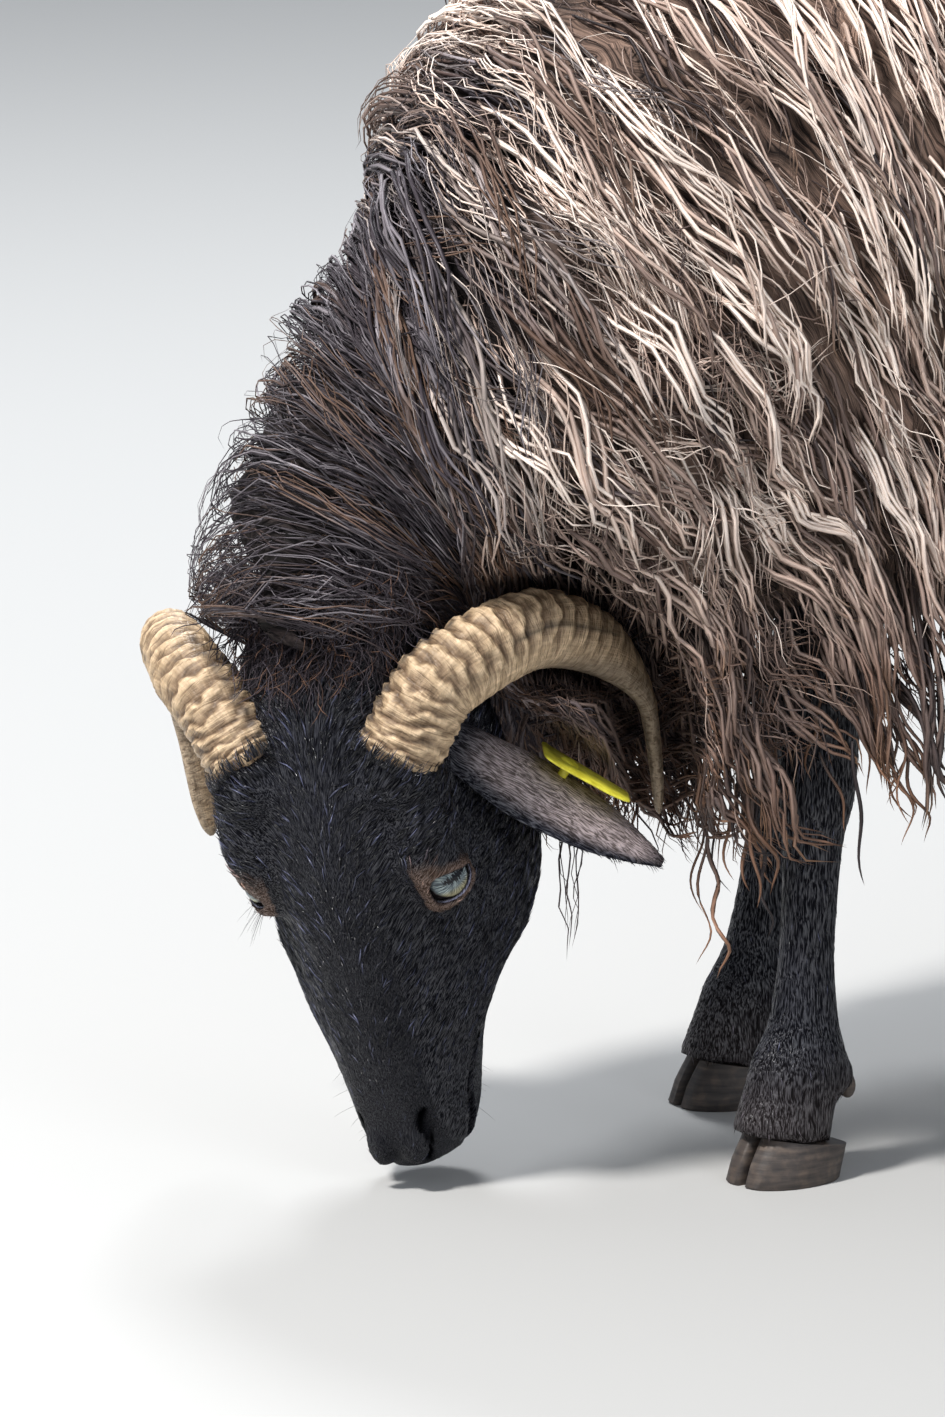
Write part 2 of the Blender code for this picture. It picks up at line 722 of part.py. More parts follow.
def build_leg(name):
    """One leg from the hair line above its hooves up into the coat, with two dewclaws."""
    bm = loft(leg_rings(name))
    at, up = coronet_plane(name)
    slice_off(bm, at + up * (GAP / 2), -up)
    leg = object_of(name, bm, SHORT_HAIR)
    x, y = FEET[name]
    table = FORELEG if name.startswith("fore") else HINDLEG
    behind, _, _, half_deep = table(0.056)
    claws = []
    for side in (-1, 1):
        centre = Vector((x + side * 0.009, y + behind + half_deep - 0.004, 0.050))
        claws.append(object_of("dewclaw", ball(centre, (0.005, 0.005, 0.008), None, 8, 6), HOOF))
    return joined(leg, claws)


# One hoof seen from below: how far out from the split and how far back each point of its outline is.
SOLE = (
    (0.00, -0.80),
    (0.22, -0.98),
    (0.55, -0.86),
    (0.88, -0.45),
    (1.00, 0.05),
    (0.96, 0.55),
    (0.72, 0.90),
    (0.30, 0.98),
    (0.00, 0.80),
)


def build_hoof(name, leg, side):
    """One of the two hooves of a foot, flat underneath and cut off along the hair line."""
    x, y = FEET[leg]
    turn = Matrix.Rotation(math.radians(FOOT_TURN[leg]), 3, "Z")
    rings = []
    for height, size, shift in ((0.0, 1.0, 0.0), (0.012, 0.985, 0.0035), (HOOF_HEIGHT, 0.90, 0.0125)):
        ring = []
        for out, back in SOLE:
            point = Vector(
                (
                    side * (HOOF_SPLIT / 2 + out * HOOF_WIDTH * size),
                    back * HOOF_LENGTH / 2 * size + shift,
                    height,
                )
            )
            ring.append(Vector((x, y, 0.0)) + turn @ point)
        rings.append(ring)
    bm = loft(rings)
    at, up = coronet_plane(leg)
    slice_off(bm, at - up * (GAP / 2), up)
    return object_of(name, bm, HOOF)


# The tail's middle line: how far back and how high, then half its width and half its depth.
TAIL = Profile(
    (0.00, 0.640, 0.598, 0.020, 0.018),
    (0.14, 0.680, 0.590, 0.030, 0.024),
    (0.34, 0.702, 0.530, 0.038, 0.028),
    (0.60, 0.706, 0.430, 0.040, 0.028),
    (0.82, 0.702, 0.335, 0.034, 0.024),
    (1.00, 0.696, 0.255, 0.012, 0.010),
)


def tail_rings(grow=0.0):
    rows = [TAIL(share) for share in (0.0, 0.07, 0.14, 0.24, 0.34, 0.47, 0.60, 0.72, 0.84, 0.93, 1.0)]
    centres = [Vector((0.0, row[0], row[1])) for row in rows]
    return tube_rings(centres, [row[2] + grow for row in rows], [row[3] + grow for row in rows], 10)


def shoulder_side(bm, behind):
    """Cuts a bmesh off at the slanting plane between the neck and the barrel."""
    facing = SHOULDER_FACING if behind else -SHOULDER_FACING
    return slice_off(bm, SHOULDER_CUT - facing * (GAP / 2), facing)


class Flank:
    """One side of a section, from the spine down to the coat's lower edge."""

    def __init__(self, points, backward, side):
        self.points, self.backward, self.side = points, backward, side
        steps = [(b - a).length for a, b in zip(points, points[1:])]
        self.reach = np.concatenate([[0.0], np.cumsum(steps)])

    def at(self, down):
        """The point at a distance down from the spine, and the way its skin faces."""
        i = int(np.clip(np.searchsorted(self.reach, down, side="right") - 1, 0, len(self.points) - 2))
        share = (down - self.reach[i]) / (self.reach[i + 1] - self.reach[i])
        point = self.points[i].lerp(self.points[i + 1], share)
        lower, upper = min(i + 1, len(self.points) - 2), max(i - 1, 0)
        here = self.points[i + 1] - self.points[i]
        near = (self.points[lower + 1] - self.points[lower]) if share > 0.5 else here
        near = (self.points[upper + 1] - self.points[upper]) if share < 0.5 else near
        along = here.normalized().lerp(near.normalized(), min(abs(share - 0.5), 0.5))
        return point, (along.cross(self.backward) * self.side).normalized()


def barrel_flank(y, side):
    """A side of the barrel at y: over the ribs, then straight down to the fringe."""
    back, _, half, level = BARREL(y)
    points = []
    for k in range(10):
        wide, high = oval(math.radians(90 - 10 * k), BARREL_POWER)
        points.append(Vector((side * wide * half, y, level + high * (back - level))))
    points.append(Vector((side * half, y, float(FRINGE(y)[0]))))
    return Flank(points, Vector((0, 1, 0)), side)


def neck_flank(t, side):
    """A side of the neck at a share t of its length: over the neck, then down to the apron's edge."""
    middle, deep, across, half = neck_frame(t)
    points = []
    for k in range(10):
        wide, high = oval(math.radians(90 - 10 * k), 2.2)
        points.append(middle + across * (side * wide * half) + deep * high)
    spread, bottom = APRON(t)
    hem = middle - deep + across * (side * half * min(spread, 1.0))
    points.append(Vector((hem.x, hem.y, min(bottom, hem.z))))
    return Flank(points, -neck_run(t), side)


# A lock's width, thickness and standing off the skin, for shares of its length from the root.
LOCK = Profile(
    (0.00, 0.60, 1.00, 0.10),
    (0.20, 0.95, 1.00, 0.50),
    (0.45, 1.00, 0.90, 0.74),
    (0.70, 0.90, 0.75, 0.90),
    (0.88, 0.66, 0.55, 1.00),
    (1.00, 0.20, 0.25, 0.97),
)
LOCK_STEPS = (0.0, 0.30, 0.60, 0.86)


def lock(course, width, thick, keep):
    """A flat tapered lock with a ridge. Its course gives a centre and the way outward for a share."""
    rings, centres = [], []
    for share in LOCK_STEPS + (1.0,):
        wide, deep, _ = LOCK(share)
        centre, outward = course(share)
        centres.append((keep(centre, wide * width + 0.0015), outward, wide * width, deep * thick))
    for i, (centre, outward, wide, deep) in enumerate(centres[:-1]):
        before, after = centres[max(i - 1, 0)][0], centres[i + 1][0]
        along = (after - before).normalized()
        across = along.cross(outward).normalized()
        outward = across.cross(along).normalized()
        low = centre - outward * (deep * 0.4)
        rings.append([low - across * wide, low + across * wide, centre + outward * deep])
    return loft(rings, centres[-1][0])


def behind_shoulder(point, margin):
    """Moves a point clear of the plane between neck and barrel, to the barrel's side."""
    short = (point - SHOULDER_CUT).dot(SHOULDER_FACING) + margin
    return point - SHOULDER_FACING * max(short, 0.0)


def before_shoulder(point, margin):
    """Moves a point clear of the plane between neck and barrel, to the neck's side."""
    short = margin - (point - SHOULDER_CUT).dot(SHOULDER_FACING)
    return point + SHOULDER_FACING * max(short, 0.0)


BARREL_PLACES = (-0.13, -0.07, 0.0, 0.07, 0.16, 0.26, 0.36, 0.46, 0.54, 0.600)

# The rows of locks on the barrel: how far down from the spine each starts, and how long its locks are.
# The last row reaches the fringe.
BARREL_ROWS = ((0.012, 0.215), (0.160, 0.230), (0.310, 0.225))
BARREL_SPACING = 0.062
BARREL_FIRST, BARREL_LAST = -0.070, 0.610
LOCK_WIDTH = 0.0320
LOCK_THICK = 0.0120
SWEEP_BACK = Profile((-0.1, 0.42), (0.1, 0.34), (0.4, 0.20), (0.7, 0.10))


def barrel_locks(chance):
    """The long locks on both sides of the barrel, row above row."""
    locks = []
    for side in SIDES.values():
        for row, (start, length) in enumerate(BARREL_ROWS):
            count = int((BARREL_LAST - BARREL_FIRST) / BARREL_SPACING) + 1
            for i in range(count):
                y = BARREL_FIRST + (i + 0.5 * (row % 2)) * BARREL_SPACING + chance.uniform(-0.004, 0.004)
                stand = COAT_DEPTH + (0.005 if (i + row) % 2 else -0.004)
                size = length * chance.uniform(0.93, 1.07)
                root = start + chance.uniform(-0.008, 0.008)
                if row == len(BARREL_ROWS) - 1:
                    size = barrel_flank(y, side).reach[-1] - root + chance.uniform(-0.010, 0.012)
                phase = chance.uniform(0, 2 * math.pi)

                def course(share, y=y, stand=stand, size=size, root=root, phase=phase, side=side):
                    sweep = float(SWEEP_BACK(y)[0]) * size * share
                    wave = 0.006 * share * math.sin(phase + 7.0 * share)
                    at = min(y + sweep + wave, BARREL_END - 0.012)
                    point, outward = barrel_flank(at, side).at(root + size * share)
                    return point + outward * (stand * float(LOCK(share)[2])), outward

                locks.append(lock(course, LOCK_WIDTH, LOCK_THICK, behind_shoulder))
    return locks


RUMP_ROWS = ((0.0, 0.20), (0.15, 0.19), (0.29, 0.17))


# The rump's outline beside the tail: how far along it, then how far back and how high.
RUMP_LINE = Profile(
    (0.00, 0.600, 0.622),
    (0.08, 0.660, 0.590),
    (0.18, 0.694, 0.500),
    (0.34, 0.700, 0.345),
    (0.50, 0.694, 0.200),
)


def rump_locks(chance):
    """The locks that hang over the thighs and the rump on both sides of the tail."""
    locks = []
    for side in SIDES.values():
        for row, (start, length) in enumerate(RUMP_ROWS):
            for i in range(3):
                x = 0.062 + 0.036 * (i + 0.5 * (row % 2)) + chance.uniform(-0.003, 0.003)
                size = length * chance.uniform(0.93, 1.07)
                stand = 0.026 + (0.006 if (i + row) % 2 else 0.0)

                def course(share, x=x, start=start, size=size, stand=stand, side=side):
                    down = start + size * share
                    y, z = RUMP_LINE(down)
                    drawn_in = 8.0 * x * x * (0.5 + 0.5 * min(down / 0.2, 1.0))
                    outward = unit((side * x * 6.0, 1.0, 0.7 * max(0.0, 1 - down / 0.15)))
                    point = Vector((side * (x + 0.012 * share), y - drawn_in, z))
                    return point + outward * (stand * float(LOCK(share)[2]) - 0.004), outward

                locks.append(lock(course, LOCK_WIDTH * 0.9, LOCK_THICK, behind_shoulder))
    return locks


def build_torso():
    """The barrel: a core under the coat, and the long locks that hang from it out to the tips."""
    core = COAT_DEPTH * CORE_SHARE
    rings = [barrel_ring(y, core, 20) for y in BARREL_PLACES + (BARREL_END,)]
    last = rings[-1]
    for behind, share in ((0.014, 0.93), (0.026, 0.80), (0.034, 0.50)):
        ring = [Vector((p.x * share, BARREL_END + behind, 0.50 + (p.z - 0.50) * share)) for p in last]
        rings.append(ring)
    torso = object_of("torso", shoulder_side(loft(rings), True), COAT)
    chance = random.Random(SEED)
    shapes = barrel_locks(chance) + rump_locks(chance)
    joined(torso, [object_of("lock", bm, COAT) for bm in shapes])
    return joined(torso, torso_pockets(), "DIFFERENCE")


def torso_pockets():
    """What is taken out of the barrel for the legs and the tail."""
    cuts = []
    for name in FEET:
        top = 0.350 if name.startswith("fore") else 0.390
        heights = (0.10, 0.170, 0.198, 0.222, 0.250, 0.290) + ((0.340,) if top > 0.35 else ()) + (top,)
        rings = leg_rings(name, GAP, heights)
        rings[-1] = [p + Vector((0, 0, GAP)) for p in rings[-1]]
        cuts.append(object_of("pocket", loft(rings), COAT))
    rings = tail_rings(GAP)
    rings[0] = [p - Vector((0, 2 * GAP, 0)) for p in rings[0]]
    cuts.append(object_of("pocket", loft(rings), COAT))
    return cuts


# The rows of locks on the neck: how far down from the crest each starts, how long its locks are, and
# the shares of the neck's length between which they grow.
NECK_ROWS = (
    (0.004, 0.140, 0.04, 0.98),
    (0.105, 0.150, 0.06, 0.92),
    (0.210, 0.150, 0.03, 0.66),
    (0.305, 0.150, 0.04, 0.44),
)
NECK_SPACING = 0.150


def neck_locks(chance):
    """The wool's clumps and locks on both sides of the neck, down to the apron before the legs."""
    locks = []
    for side in SIDES.values():
        for row, (start, length, first, last) in enumerate(NECK_ROWS):
            for i in range(int((last - first) / NECK_SPACING) + 1):
                t = first + (i + 0.5 * (row % 2)) * NECK_SPACING + chance.uniform(-0.012, 0.012)
                size = length * chance.uniform(0.92, 1.08)
                root = start + chance.uniform(-0.006, 0.006)
                lifted = 0.004 if (i + row) % 2 else -0.003
                phase = chance.uniform(0, 2 * math.pi)

                def course(share, t=t, size=size, root=root, lifted=lifted, phase=phase, side=side):
                    wave = 0.018 * share * math.sin(phase + 7.0 * share)
                    at = float(np.clip(t - 0.30 * size * share / 0.3 + wave, -0.2, 1.0))
                    point, outward = neck_flank(at, side).at(root + size * share)
                    left, right = NECK_DEPTH(at)
                    stand = ((left if side > 0 else right) + lifted) * float(LOCK(share)[2])
                    return point + outward * stand, outward

                keep = functools.partial(inside_horns, side=side)
                locks.append(lock(course, LOCK_WIDTH, LOCK_THICK * 1.15, keep))
    return locks


BRISKET_PLACES = (0.03, 0.14, 0.26, 0.38, 0.50)


def brisket_locks(chance):
    """The long wool that hangs from the throat and the brisket before the fore feet."""
    locks = []
    for i, t in enumerate(BRISKET_PLACES):
        middle, deep, across, half = neck_frame(t)
        side = 1 if i % 2 else -1
        root = middle - deep * 0.9 + across * (side * 0.014 - 0.010)
        bottom = float(APRON(t)[1]) + chance.uniform(-0.010, 0.008)

        def course(share, root=root, bottom=bottom, side=side, t=t):
            aside = 0.006 * math.sin(4.0 * share + 5.0 * t)
            drop = Vector((aside, 0.010 * share, (bottom - root.z) * share))
            return root + drop, Vector((side, 0.0, 0.0))

        keep = functools.partial(inside_horns, side=1.0)
        locks.append(lock(course, LOCK_WIDTH, LOCK_THICK * 1.6, keep))
    return locks


# The horns, ears and tag stand free of the wool on their outer side, which faces this way on the left.
FREE_SIDE = unit((0.80, -0.56, 0.21))
FREE_ROOM = 0.013


def standing_free(side):
    """Points down the middle of a side's horn and ear, each with the half width that it needs."""
    places = []
    for i in range(11):
        values = HORN_LINE(i / 10)
        places.append((head_point(side * values[0], values[1], values[2]), values[3] / 2))
        middle, *_ = ear_frame("left" if side > 0 else "right", i / 10)
        places.append((middle, 0.026))
    return places


FREE_PLACES = {side: standing_free(side) for side in SIDES.values()}


def inside_horns(point, margin, side):
    """Moves a point of the wool in behind the horn and the ear of its side, and before the shoulder."""
    outward = Vector((side * FREE_SIDE.x, FREE_SIDE.y, FREE_SIDE.z))
    most = 0.0
    for place, half in FREE_PLACES[side]:
        away = point - place
        out = away.dot(outward)
        beside = (away - outward * out).length
        if beside < half + FREE_ROOM + 0.5 * margin:
            most = max(most, out + half + FREE_ROOM)
    return before_shoulder(point - outward * min(most, 0.12), margin)


def build_neck():
    """The neck and breast: a core under the wool, and its clumps and locks out to the tips."""
    rings = []
    for t in (-0.25, -0.05, 0.15, 0.30, 0.45, 0.60, 0.75, 0.88, 1.0):
        left, right = NECK_DEPTH(t)
        rings.append(neck_ring(t, left * CORE_SHARE, right * CORE_SHARE, 22))
    middle, *_ = neck_frame(1.0)
    rings.append([middle.lerp(p, 0.92) - NAPE_FACING * COLLAR_REACH for p in rings[-1]])
    neck = object_of("neck", shoulder_side(loft(rings), False), NECK_WOOL)
    chance = random.Random(SEED + 1)
    shapes = neck_locks(chance) + brisket_locks(chance)
    joined(neck, [object_of("lock", bm, NECK_WOOL) for bm in shapes])
    return joined(neck, neck_ways(), "DIFFERENCE")


def neck_ways():
    """What is taken out of the neck's wool for the head, the horns, the ears and the forelegs."""
    head = loft([skull_ring(p, GAP) for p in SKULL_PLACES])
    slice_off(head, NAPE_CUT + NAPE_FACING * (GAP / 2), NAPE_FACING)
    cuts = [object_of("way", head, HORN)]
    for side in SIDES.values():
        cuts.append(object_of("way", loft(horn_rings(side, 0.0035, ribs=False)), HORN))
    for name in SIDES:
        cuts.append(object_of("way", loft(ear_rings(name, 0.0015)), HORN))
    for name in ("foreleg_left", "foreleg_right"):
        heights = (0.10, 0.170, 0.198, 0.222, 0.250, 0.290, 0.350)
        cuts.append(object_of("way", loft(leg_rings(name, GAP, heights)), HORN))
    return cuts


def main():
    for old in list(bpy.data.objects):
        bpy.data.objects.remove(old)
    head = build_head()
    sockets = []
    for name, side in SIDES.items():
        tip = head_point(side * HORN_LINE(1.0)[0], *HORN_LINE(1.0)[1:3])
        object_of("horn_" + name, loft(horn_rings(side), tip), HORN)
        sockets.append(object_of("horn socket", loft(horn_rings(side, GAP + 0.0016, ribs=False)), HORN))
        sockets.append(object_of("ear socket", loft(ear_rings(name, 2 * GAP)), HORN))
        look, corner, up = eye_axes(side)
        object_of("eye_" + name, ball(eye_centre(side), [EYE_RADIUS] * 3, (corner, up, look), 14, 9), EYE)
        build_ear(name)
    joined(head, sockets, "DIFFERENCE")
    at, run, wide, facing = tag_frame()
    hole = rod(at + facing * 0.01, at - facing * 0.01, STUD_RADIUS + GAP, 10)
    joined(bpy.data.objects["ear_left"], [object_of("hole", hole, TAG)], "DIFFERENCE")
    build_tag()
    build_neck()
    build_torso()
    object_of("tail", loft(tail_rings()), COAT)
    for leg in FEET:
        build_leg(leg)
        for word, side in (("left", 1.0), ("right", -1.0)):
            build_hoof(f"hoof_{leg.split('leg_')[0]}_{leg.split('_')[1]}_{word}", leg, side)
    for made in bpy.data.objects:
        made.data.transform(Matrix.Translation(TO_ORIGIN))


main()
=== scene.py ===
"""The looks of a grazing black-faced ewe with horns and a long coat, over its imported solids.

One skin covers the head, ears, neck, barrel, tail and legs. Wool and hair stand on it as solid strands,
joined piece by piece. The ewe faces -Y and its left side is at +X. It is laid out from the floor point
midway between the fore feet, and each finished piece moves by TO_ORIGIN into the frame of the solids.
Lengths are in metres, angles in degrees, colours linear.
"""

import logging
import math
from collections.abc import Callable, Sequence
from dataclasses import dataclass, field, replace
from enum import Enum

import bmesh
import bpy
import numpy as np
from mathutils import Matrix, Vector
from mathutils.kdtree import KDTree


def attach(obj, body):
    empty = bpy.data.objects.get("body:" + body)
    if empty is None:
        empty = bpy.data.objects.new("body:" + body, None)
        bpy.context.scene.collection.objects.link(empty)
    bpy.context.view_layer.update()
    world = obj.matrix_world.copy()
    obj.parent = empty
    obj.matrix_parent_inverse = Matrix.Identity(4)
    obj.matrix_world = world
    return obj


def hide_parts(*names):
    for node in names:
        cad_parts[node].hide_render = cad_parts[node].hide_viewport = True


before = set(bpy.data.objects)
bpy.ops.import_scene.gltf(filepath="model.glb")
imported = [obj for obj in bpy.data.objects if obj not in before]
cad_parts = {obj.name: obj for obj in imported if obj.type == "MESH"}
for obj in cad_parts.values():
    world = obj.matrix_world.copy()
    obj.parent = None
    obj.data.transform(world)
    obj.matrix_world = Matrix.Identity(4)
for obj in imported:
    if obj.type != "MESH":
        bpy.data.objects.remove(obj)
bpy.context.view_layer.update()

LOG = logging.getLogger("ewe")
TO_ORIGIN = Vector((0.0, -0.2088, 0.0))
BODY = "root"
SEED = 11
SIDES = {"left": 1.0, "right": -1.0}
Colour = tuple[float, float, float]


class Profile:
    """Sizes measured at a few stations along a part, joined by a curve that never overshoots them."""

    def __init__(self, *stations: Sequence[float]) -> None:
        """Keeps the stations and works out the curve's slope at each.

        Args:
            stations: rows of a place along the part and the sizes there.
        """
        table = np.array(stations, float)
        self.at, self.values = table[:, 0], table[:, 1:]
        rise = np.diff(self.values, axis=0) / np.diff(self.at)[:, None]
        self.slopes = np.vstack([rise[:1], np.zeros_like(rise[1:]), rise[-1:]])
        for i in range(1, len(rise)):
            before, after = rise[i - 1], rise[i]
            same = before * after > 0
            total = np.where(same, before + after, 1.0)
            self.slopes[i] = np.where(same, 2 * before * after / total, 0.0)

    def many(self, at: np.ndarray) -> np.ndarray:
        """The sizes at many places, one row each."""
        at = np.asarray(at, float)
        i = np.clip(np.searchsorted(self.at, at) - 1, 0, len(self.at) - 2)
        step = self.at[i + 1] - self.at[i]
        t = np.clip((at - self.at[i]) / step, 0.0, 1.0)[..., None]
        t2, t3 = t * t, t * t * t
        start = 2 * t3 - 3 * t2 + 1
        return (
            start * self.values[i]
            + (1 - start) * self.values[i + 1]
            + step[..., None] * ((t3 - 2 * t2 + t) * self.slopes[i] + (t3 - t2) * self.slopes[i + 1])
        )

    def __call__(self, at: float) -> np.ndarray:
        """The sizes at one place."""
        return self.many(np.array([at]))[0]


def units(vectors: np.ndarray) -> np.ndarray:
    """Vectors of length 1 along the given ones, which lie along the last axis."""
    return vectors / np.maximum(np.linalg.norm(vectors, axis=-1, keepdims=True), 1e-12)


def eased(values: np.ndarray, low: float, high: float) -> np.ndarray:
    """0 below low, 1 above high and a smooth rise between."""
    t = np.clip((np.asarray(values, float) - low) / (high - low), 0.0, 1.0)
    return t * t * (3 - 2 * t)


def oval(angle: float, power: float) -> tuple[float, float]:
    """A point on a rounded rectangle of half size 1. Power 2 is an ellipse."""
    c, s = math.cos(angle), math.sin(angle)
    return math.copysign(abs(c) ** (2 / power), c), math.copysign(abs(s) ** (2 / power), s)


def ovals(count: int, power: float) -> list[tuple[float, float]]:
    """Points all round a rounded rectangle of half size 1."""
    return [oval(2 * math.pi * (k + 0.5) / count, power) for k in range(count)]


def arch(power: float) -> list[tuple[float, float]]:
    """Points of a rounded rectangle from its top to its widest place."""
    return [oval(math.radians(90 - 6 * k), power) for k in range(16)]


def alternating(count: int) -> np.ndarray:
    """Left and right by turns, as 1 and -1."""
    return np.where(np.arange(count) % 2 == 0, 1.0, -1.0)


def circle(count: int) -> list[tuple[float, float]]:
    """Points all round a circle of radius 1."""
    return [(math.cos(2 * math.pi * k / count), math.sin(2 * math.pi * k / count)) for k in range(count)]


@dataclass(frozen=True)
class Head:
    """Where the head is, which way it looks, and its sections along the nose."""

    poll: Vector = Vector((-0.0166, -0.2672, 0.2692))
    heading: float = 34.7
    pitch: float = 94.0
    lean: float = 7.1

    def axes(self) -> tuple[Vector, Vector, Vector]:
        """To the ewe's left, out of its forehead, and along its nose."""
        turn = (
            Matrix.Rotation(math.radians(self.heading), 3, "Z")
            @ Matrix.Rotation(-math.radians(self.lean), 3, "Y")
            @ Matrix.Rotation(math.radians(self.pitch), 3, "X")
        )
        return turn @ Vector((1, 0, 0)), turn @ Vector((0, 0, 1)), turn @ Vector((0, -1, 0))

    def point(self, sideways: float, up: float, along: float) -> Vector:
        """The place with these distances along the head's axes."""
        left, rise, nose = AXES
        return self.poll + left * sideways + rise * up + nose * along

    def direction(self, sideways: float, up: float, along: float) -> Vector:
        """The direction with these shares of the head's axes."""
        left, rise, nose = AXES
        return (left * sideways + rise * up + nose * along).normalized()

    def on(self, side: float, place: Sequence[float]) -> Vector:
        """A place given for the left side, on the given side."""
        return self.point(side * place[0], place[1], place[2])

    def toward(self, side: float, way: Sequence[float]) -> Vector:
        """A direction given for the left side, on the given side."""
        return self.direction(side * way[0], way[1], way[2])

    def within(self, points: np.ndarray) -> np.ndarray:
        """Points of the body's frame as distances along the head's axes."""
        return (points - np.array(self.poll)) @ np.array(AXES).T


HEAD = Head()
AXES = HEAD.axes()

# The skull's upper and lower line along the nose, then half its width at six depths below the upper line.
SKULL = Profile(
    (-0.040, -0.012, -0.110, 0.016, 0.030, 0.036, 0.040, 0.036, 0.024),
    (-0.020, 0.002, -0.135, 0.022, 0.040, 0.048, 0.052, 0.046, 0.034),
    (0.010, 0.013, -0.152, 0.026, 0.046, 0.056, 0.060, 0.055, 0.040),
    (0.040, 0.019, -0.162, 0.026, 0.047, 0.058, 0.066, 0.060, 0.045),
    (0.070, 0.021, -0.168, 0.024, 0.045, 0.059, 0.070, 0.064, 0.048),
    (0.100, 0.019, -0.168, 0.021, 0.040, 0.058, 0.071, 0.066, 0.051),
    (0.130, 0.014, -0.163, 0.0175, 0.034, 0.055, 0.066, 0.063, 0.050),
    (0.152, 0.009, -0.151, 0.0155, 0.031, 0.051, 0.060, 0.057, 0.043),
    (0.175, 0.003, -0.135, 0.0145, 0.028, 0.045, 0.049, 0.042, 0.033),
    (0.200, -0.003, -0.121, 0.0140, 0.024, 0.036, 0.039, 0.032, 0.024),
    (0.222, -0.009, -0.113, 0.0135, 0.022, 0.030, 0.032, 0.028, 0.021),
    (0.240, -0.015, -0.107, 0.0125, 0.020, 0.027, 0.029, 0.026, 0.019),
    (0.254, -0.022, -0.099, 0.0100, 0.016, 0.022, 0.024, 0.022, 0.016),
    (0.264, -0.034, -0.088, 0.0060, 0.010, 0.013, 0.014, 0.013, 0.010),
)
DEPTHS = (0.03, 0.13, 0.30, 0.50, 0.72, 0.91)
EYE_AT = {1.0: (0.0495, -0.0125, 0.1005), -1.0: (0.0465, -0.0165, 0.1000)}
EYE_RADIUS = 0.0142
EYE_TURN = {1.0: (0.86, 0.48, 0.16), -1.0: (0.92, 0.35, 0.16)}
EYE_CORNER = (0.602, -0.678, -0.421)
# The outline between the lids, from the outer corner over the top: toward that corner, and up.
LIDS = (
    (0.0126, -0.0008),
    (0.0095, 0.0030),
    (0.0045, 0.0056),
    (-0.0010, 0.0077),
    (-0.0060, 0.0089),
    (-0.0105, 0.0087),
    (-0.0135, 0.0047),
    (-0.0144, -0.0015),
    (-0.0134, -0.0055),
    (-0.0100, -0.0076),
    (-0.0050, -0.0083),
    (0.0010, -0.0077),
    (0.0065, -0.0060),
    (0.0108, -0.0038),
)
# How many points the thin hoop on the lids' edge has along it and round it.
RIM_POINTS, RIM_SIDES = 48, 10
RIM_SIZE = RIM_POINTS * RIM_SIDES
# Places and half sizes of brow, horn root, upper brow, nostril wing, upper lip, cheek and cheekbone.
SWELLINGS = (
    ((0.0460, -0.0040, 0.0640), (0.0185, 0.0200, 0.0440)),
    ((0.0400, 0.0000, 0.0430), (0.0225, 0.0235, 0.0200)),
    ((0.0500, -0.0060, 0.0850), (0.0145, 0.0130, 0.0150)),
    ((0.0088, -0.0230, 0.2430), (0.0085, 0.0098, 0.0170)),
    ((0.0160, -0.0600, 0.2380), (0.0150, 0.0150, 0.0240)),
    ((0.0430, -0.1060, 0.0760), (0.0170, 0.0420, 0.0480)),
    ((0.0460, -0.0420, 0.1260), (0.0110, 0.0100, 0.0340)),
)
CHIN = ((0.0, -0.091, 0.236), (0.018, 0.013, 0.022))
TEAR_PIT = ((0.0390, -0.0230, 0.1300), (0.0035, 0.0060, 0.0080))
# Where the body's left and right meet near the head.
HEAD_MIDDLE = -0.03
# The closed mouth from its left corner to the front, and the left nostril from below.
LIPS = (
    (0.0390, -0.0600, 0.201),
    (0.0365, -0.0575, 0.2125),
    (0.0325, -0.0565, 0.2278),
    (0.0265, -0.0585, 0.248),
    (0.0205, -0.0610, 0.261),
    (0.0090, -0.0660, 0.273),
    (0.0, -0.0680, 0.277),
)
NOSTRIL = (
    (0.0095, -0.0400, 0.2590),
    (0.0105, -0.0330, 0.2560),
    (0.0126, -0.0270, 0.2490),
    (0.0152, -0.0225, 0.2400),
    (0.0174, -0.0195, 0.2300),
)
EAR_ROOT = (0.050, -0.040, 0.030)

# Distance behind the fore feet, the heights of back and belly, half the width, the widest height.
BARREL = Profile(
    (-0.130, 0.560, 0.360, 0.085, 0.455),
    (-0.070, 0.620, 0.330, 0.112, 0.455),
    (0.000, 0.644, 0.318, 0.130, 0.460),
    (0.070, 0.645, 0.312, 0.140, 0.460),
    (0.200, 0.632, 0.302, 0.156, 0.452),
    (0.350, 0.630, 0.300, 0.166, 0.450),
    (0.470, 0.640, 0.318, 0.158, 0.458),
    (0.560, 0.640, 0.340, 0.146, 0.468),
    (0.620, 0.618, 0.372, 0.118, 0.478),
    (0.652, 0.575, 0.420, 0.070, 0.492),
)
FRINGE = Profile((-0.130, 0.225), (0.000, 0.220), (0.200, 0.205), (0.450, 0.215), (0.700, 0.260))
CREST_END = tuple(HEAD.point(0.0, 0.006, -0.030))
THROAT_END = tuple(HEAD.point(0.0, -0.118, 0.040))
# Share of the neck's length, a point of the crest, a point of the throat, half the width.
NECK = Profile(
    (-0.25, 0.000, 0.020, 0.650, 0.000, 0.050, 0.318, 0.128),
    (0.00, 0.000, -0.092, 0.622, 0.000, -0.020, 0.320, 0.114),
    (0.30, -0.008, -0.172, 0.545, -0.010, -0.070, 0.300, 0.104),
    (0.60, -0.030, -0.206, 0.448, -0.052, -0.108, 0.284, 0.066),
    (0.85, -0.032, -0.242, 0.359, -0.082, -0.147, 0.261, 0.053),
    (1.00, *CREST_END, *THROAT_END, 0.050),
)
